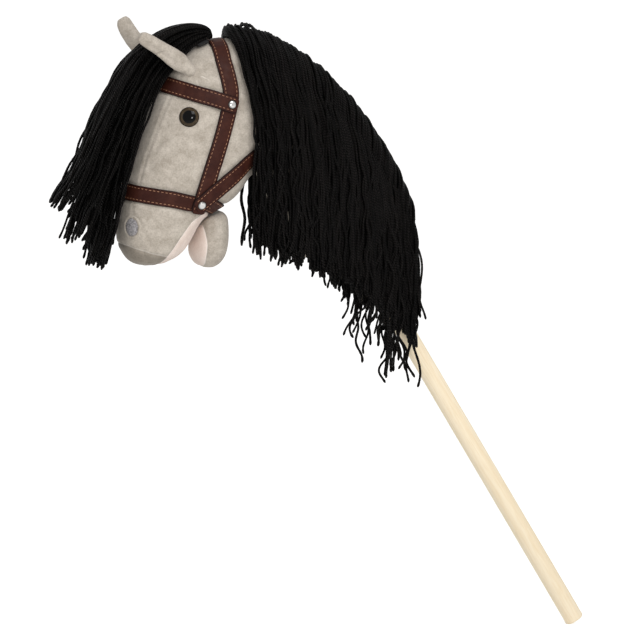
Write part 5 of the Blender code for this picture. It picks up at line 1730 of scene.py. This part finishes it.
def makeForelock():
    across = np.array([0.0, 1.0, 0.0])
    for number, curve in enumerate(forelock["layers"]):
        paths = []
        for lift in forelock["lifts"]:
            for k in range(forelock["strands"]):
                shift = dice.uniform(-forelock["scatter"], forelock["scatter"])
                share = -1.0 + 2.0 * (k + 0.5 + shift) / forelock["strands"]
                strays = dice.uniform() < forelock["stray"] and number == 2
                stand = abs(dice.normal(0, forelock["strayHeight"])) if strays else 0.0
                height = lift + dice.normal(0, forelock["liftSpread"])
                extra = dice.uniform(*forelock["ends"][number])
                paths.append(forelockStrand(curve, share, height, extra, stand))
        nodes = ["forelock_left_%d" % (number + 1), "forelock_right_%d" % (number + 1)]
        yarnPiece("forelock%d" % (number + 1), [(paths, across, yarn["radius"])], nodes)
    print("forelock made")


measureReach([(skinTree, mane["clearance"])] + [(tree, mane["strapClearance"]) for tree in laidTrees])
makeMane()
makeForelock()
for node, material in (("mane_tape", tape), ("forelock_tape", tape),
                       ("eye_washer_left", nylon), ("eye_washer_right", nylon)):
    frame["nodes"][node].data.materials.clear()
    frame["nodes"][node].data.materials.append(material)

# Floor and light
studio = {
    "world": 0.44,
    "floorSize": 60.0,             # metres
    "floorColour": "F4F3F1",
    "aimAbove": 0.15,              # metres over the horse's middle that the lamps point at
    "floorGlow": 0.62,             # seen by the camera only, so that the floor is white and keeps its shadow
    "key": {"azimuth": 10.0, "elevation": 40.0, "distance": 6.5, "size": 2.4, "power": 158.0},
    "fill": {"azimuth": -75.0, "elevation": 20.0, "distance": 3.2, "size": 2.0, "power": 8.0},
    "glint": {"azimuth": -5.3, "elevation": 11.3, "distance": 3.0, "size": 0.4, "power": 17.0},
}


def seenDirectly(tree):
    # 1 for what the camera, a mirror or clear glass sees
    path = addNode(tree, "ShaderNodeLightPath", {})
    both = addNode(tree, "ShaderNodeMath", {0: path["Is Camera Ray"], 1: path["Is Glossy Ray"]},
                   operation="MAXIMUM")[0]
    return addNode(tree, "ShaderNodeMath", {0: both, 1: path["Is Transmission Ray"]}, operation="MAXIMUM")[0]


def makeStudio():
    bpy.ops.object.select_all(action="DESELECT")
    bpy.ops.mesh.primitive_plane_add(size=studio["floorSize"], location=(0, 0, cadLow.z))
    floor = bpy.context.active_object
    floor.name = "floor"
    bpy.ops.object.transform_apply(location=True, rotation=False, scale=False)
    material, tree, shader, _ = startMaterial("paleFloor", {"Roughness": 0.9})
    shader.inputs["Base Color"].default_value = fromHex(studio["floorColour"])
    shader.inputs["Emission Color"].default_value = (1, 1, 1, 1)
    glow = addNode(tree, "ShaderNodeMath", {0: seenDirectly(tree), 1: studio["floorGlow"]},
                   operation="MULTIPLY")[0]
    feed(tree, shader, {"Emission Strength": glow})
    floor.data.materials.append(material)
    world = bpy.data.worlds.new("studio")
    world.use_nodes = True
    bpy.context.scene.world = world
    tree = world.node_tree
    background = tree.nodes["Background"]
    background.inputs["Color"].default_value = (1, 1, 1, 1)
    strength = addNode(tree, "ShaderNodeMapRange", {0: seenDirectly(tree), 3: studio["world"], 4: 1.0})[0]
    feed(tree, background, {"Strength": strength})
    middle = (cadLow + cadHigh) / 2
    for name in ("key", "fill", "glint"):
        lamp = studio[name]
        data = bpy.data.lights.new(name, "AREA")
        data.size = lamp["size"]
        data.energy = lamp["power"]
        item = bpy.data.objects.new(name, data)
        bpy.context.scene.collection.objects.link(item)
        way = awayFrom(lamp["azimuth"], lamp["elevation"])
        item.location = middle + Vector((0, 0, studio["aimAbove"])) + way * lamp["distance"]
        item.rotation_euler = (-way).to_track_quat("-Z", "Y").to_euler()
    bpy.context.scene.view_settings.view_transform = "Standard"


makeStudio()
print("studio made")
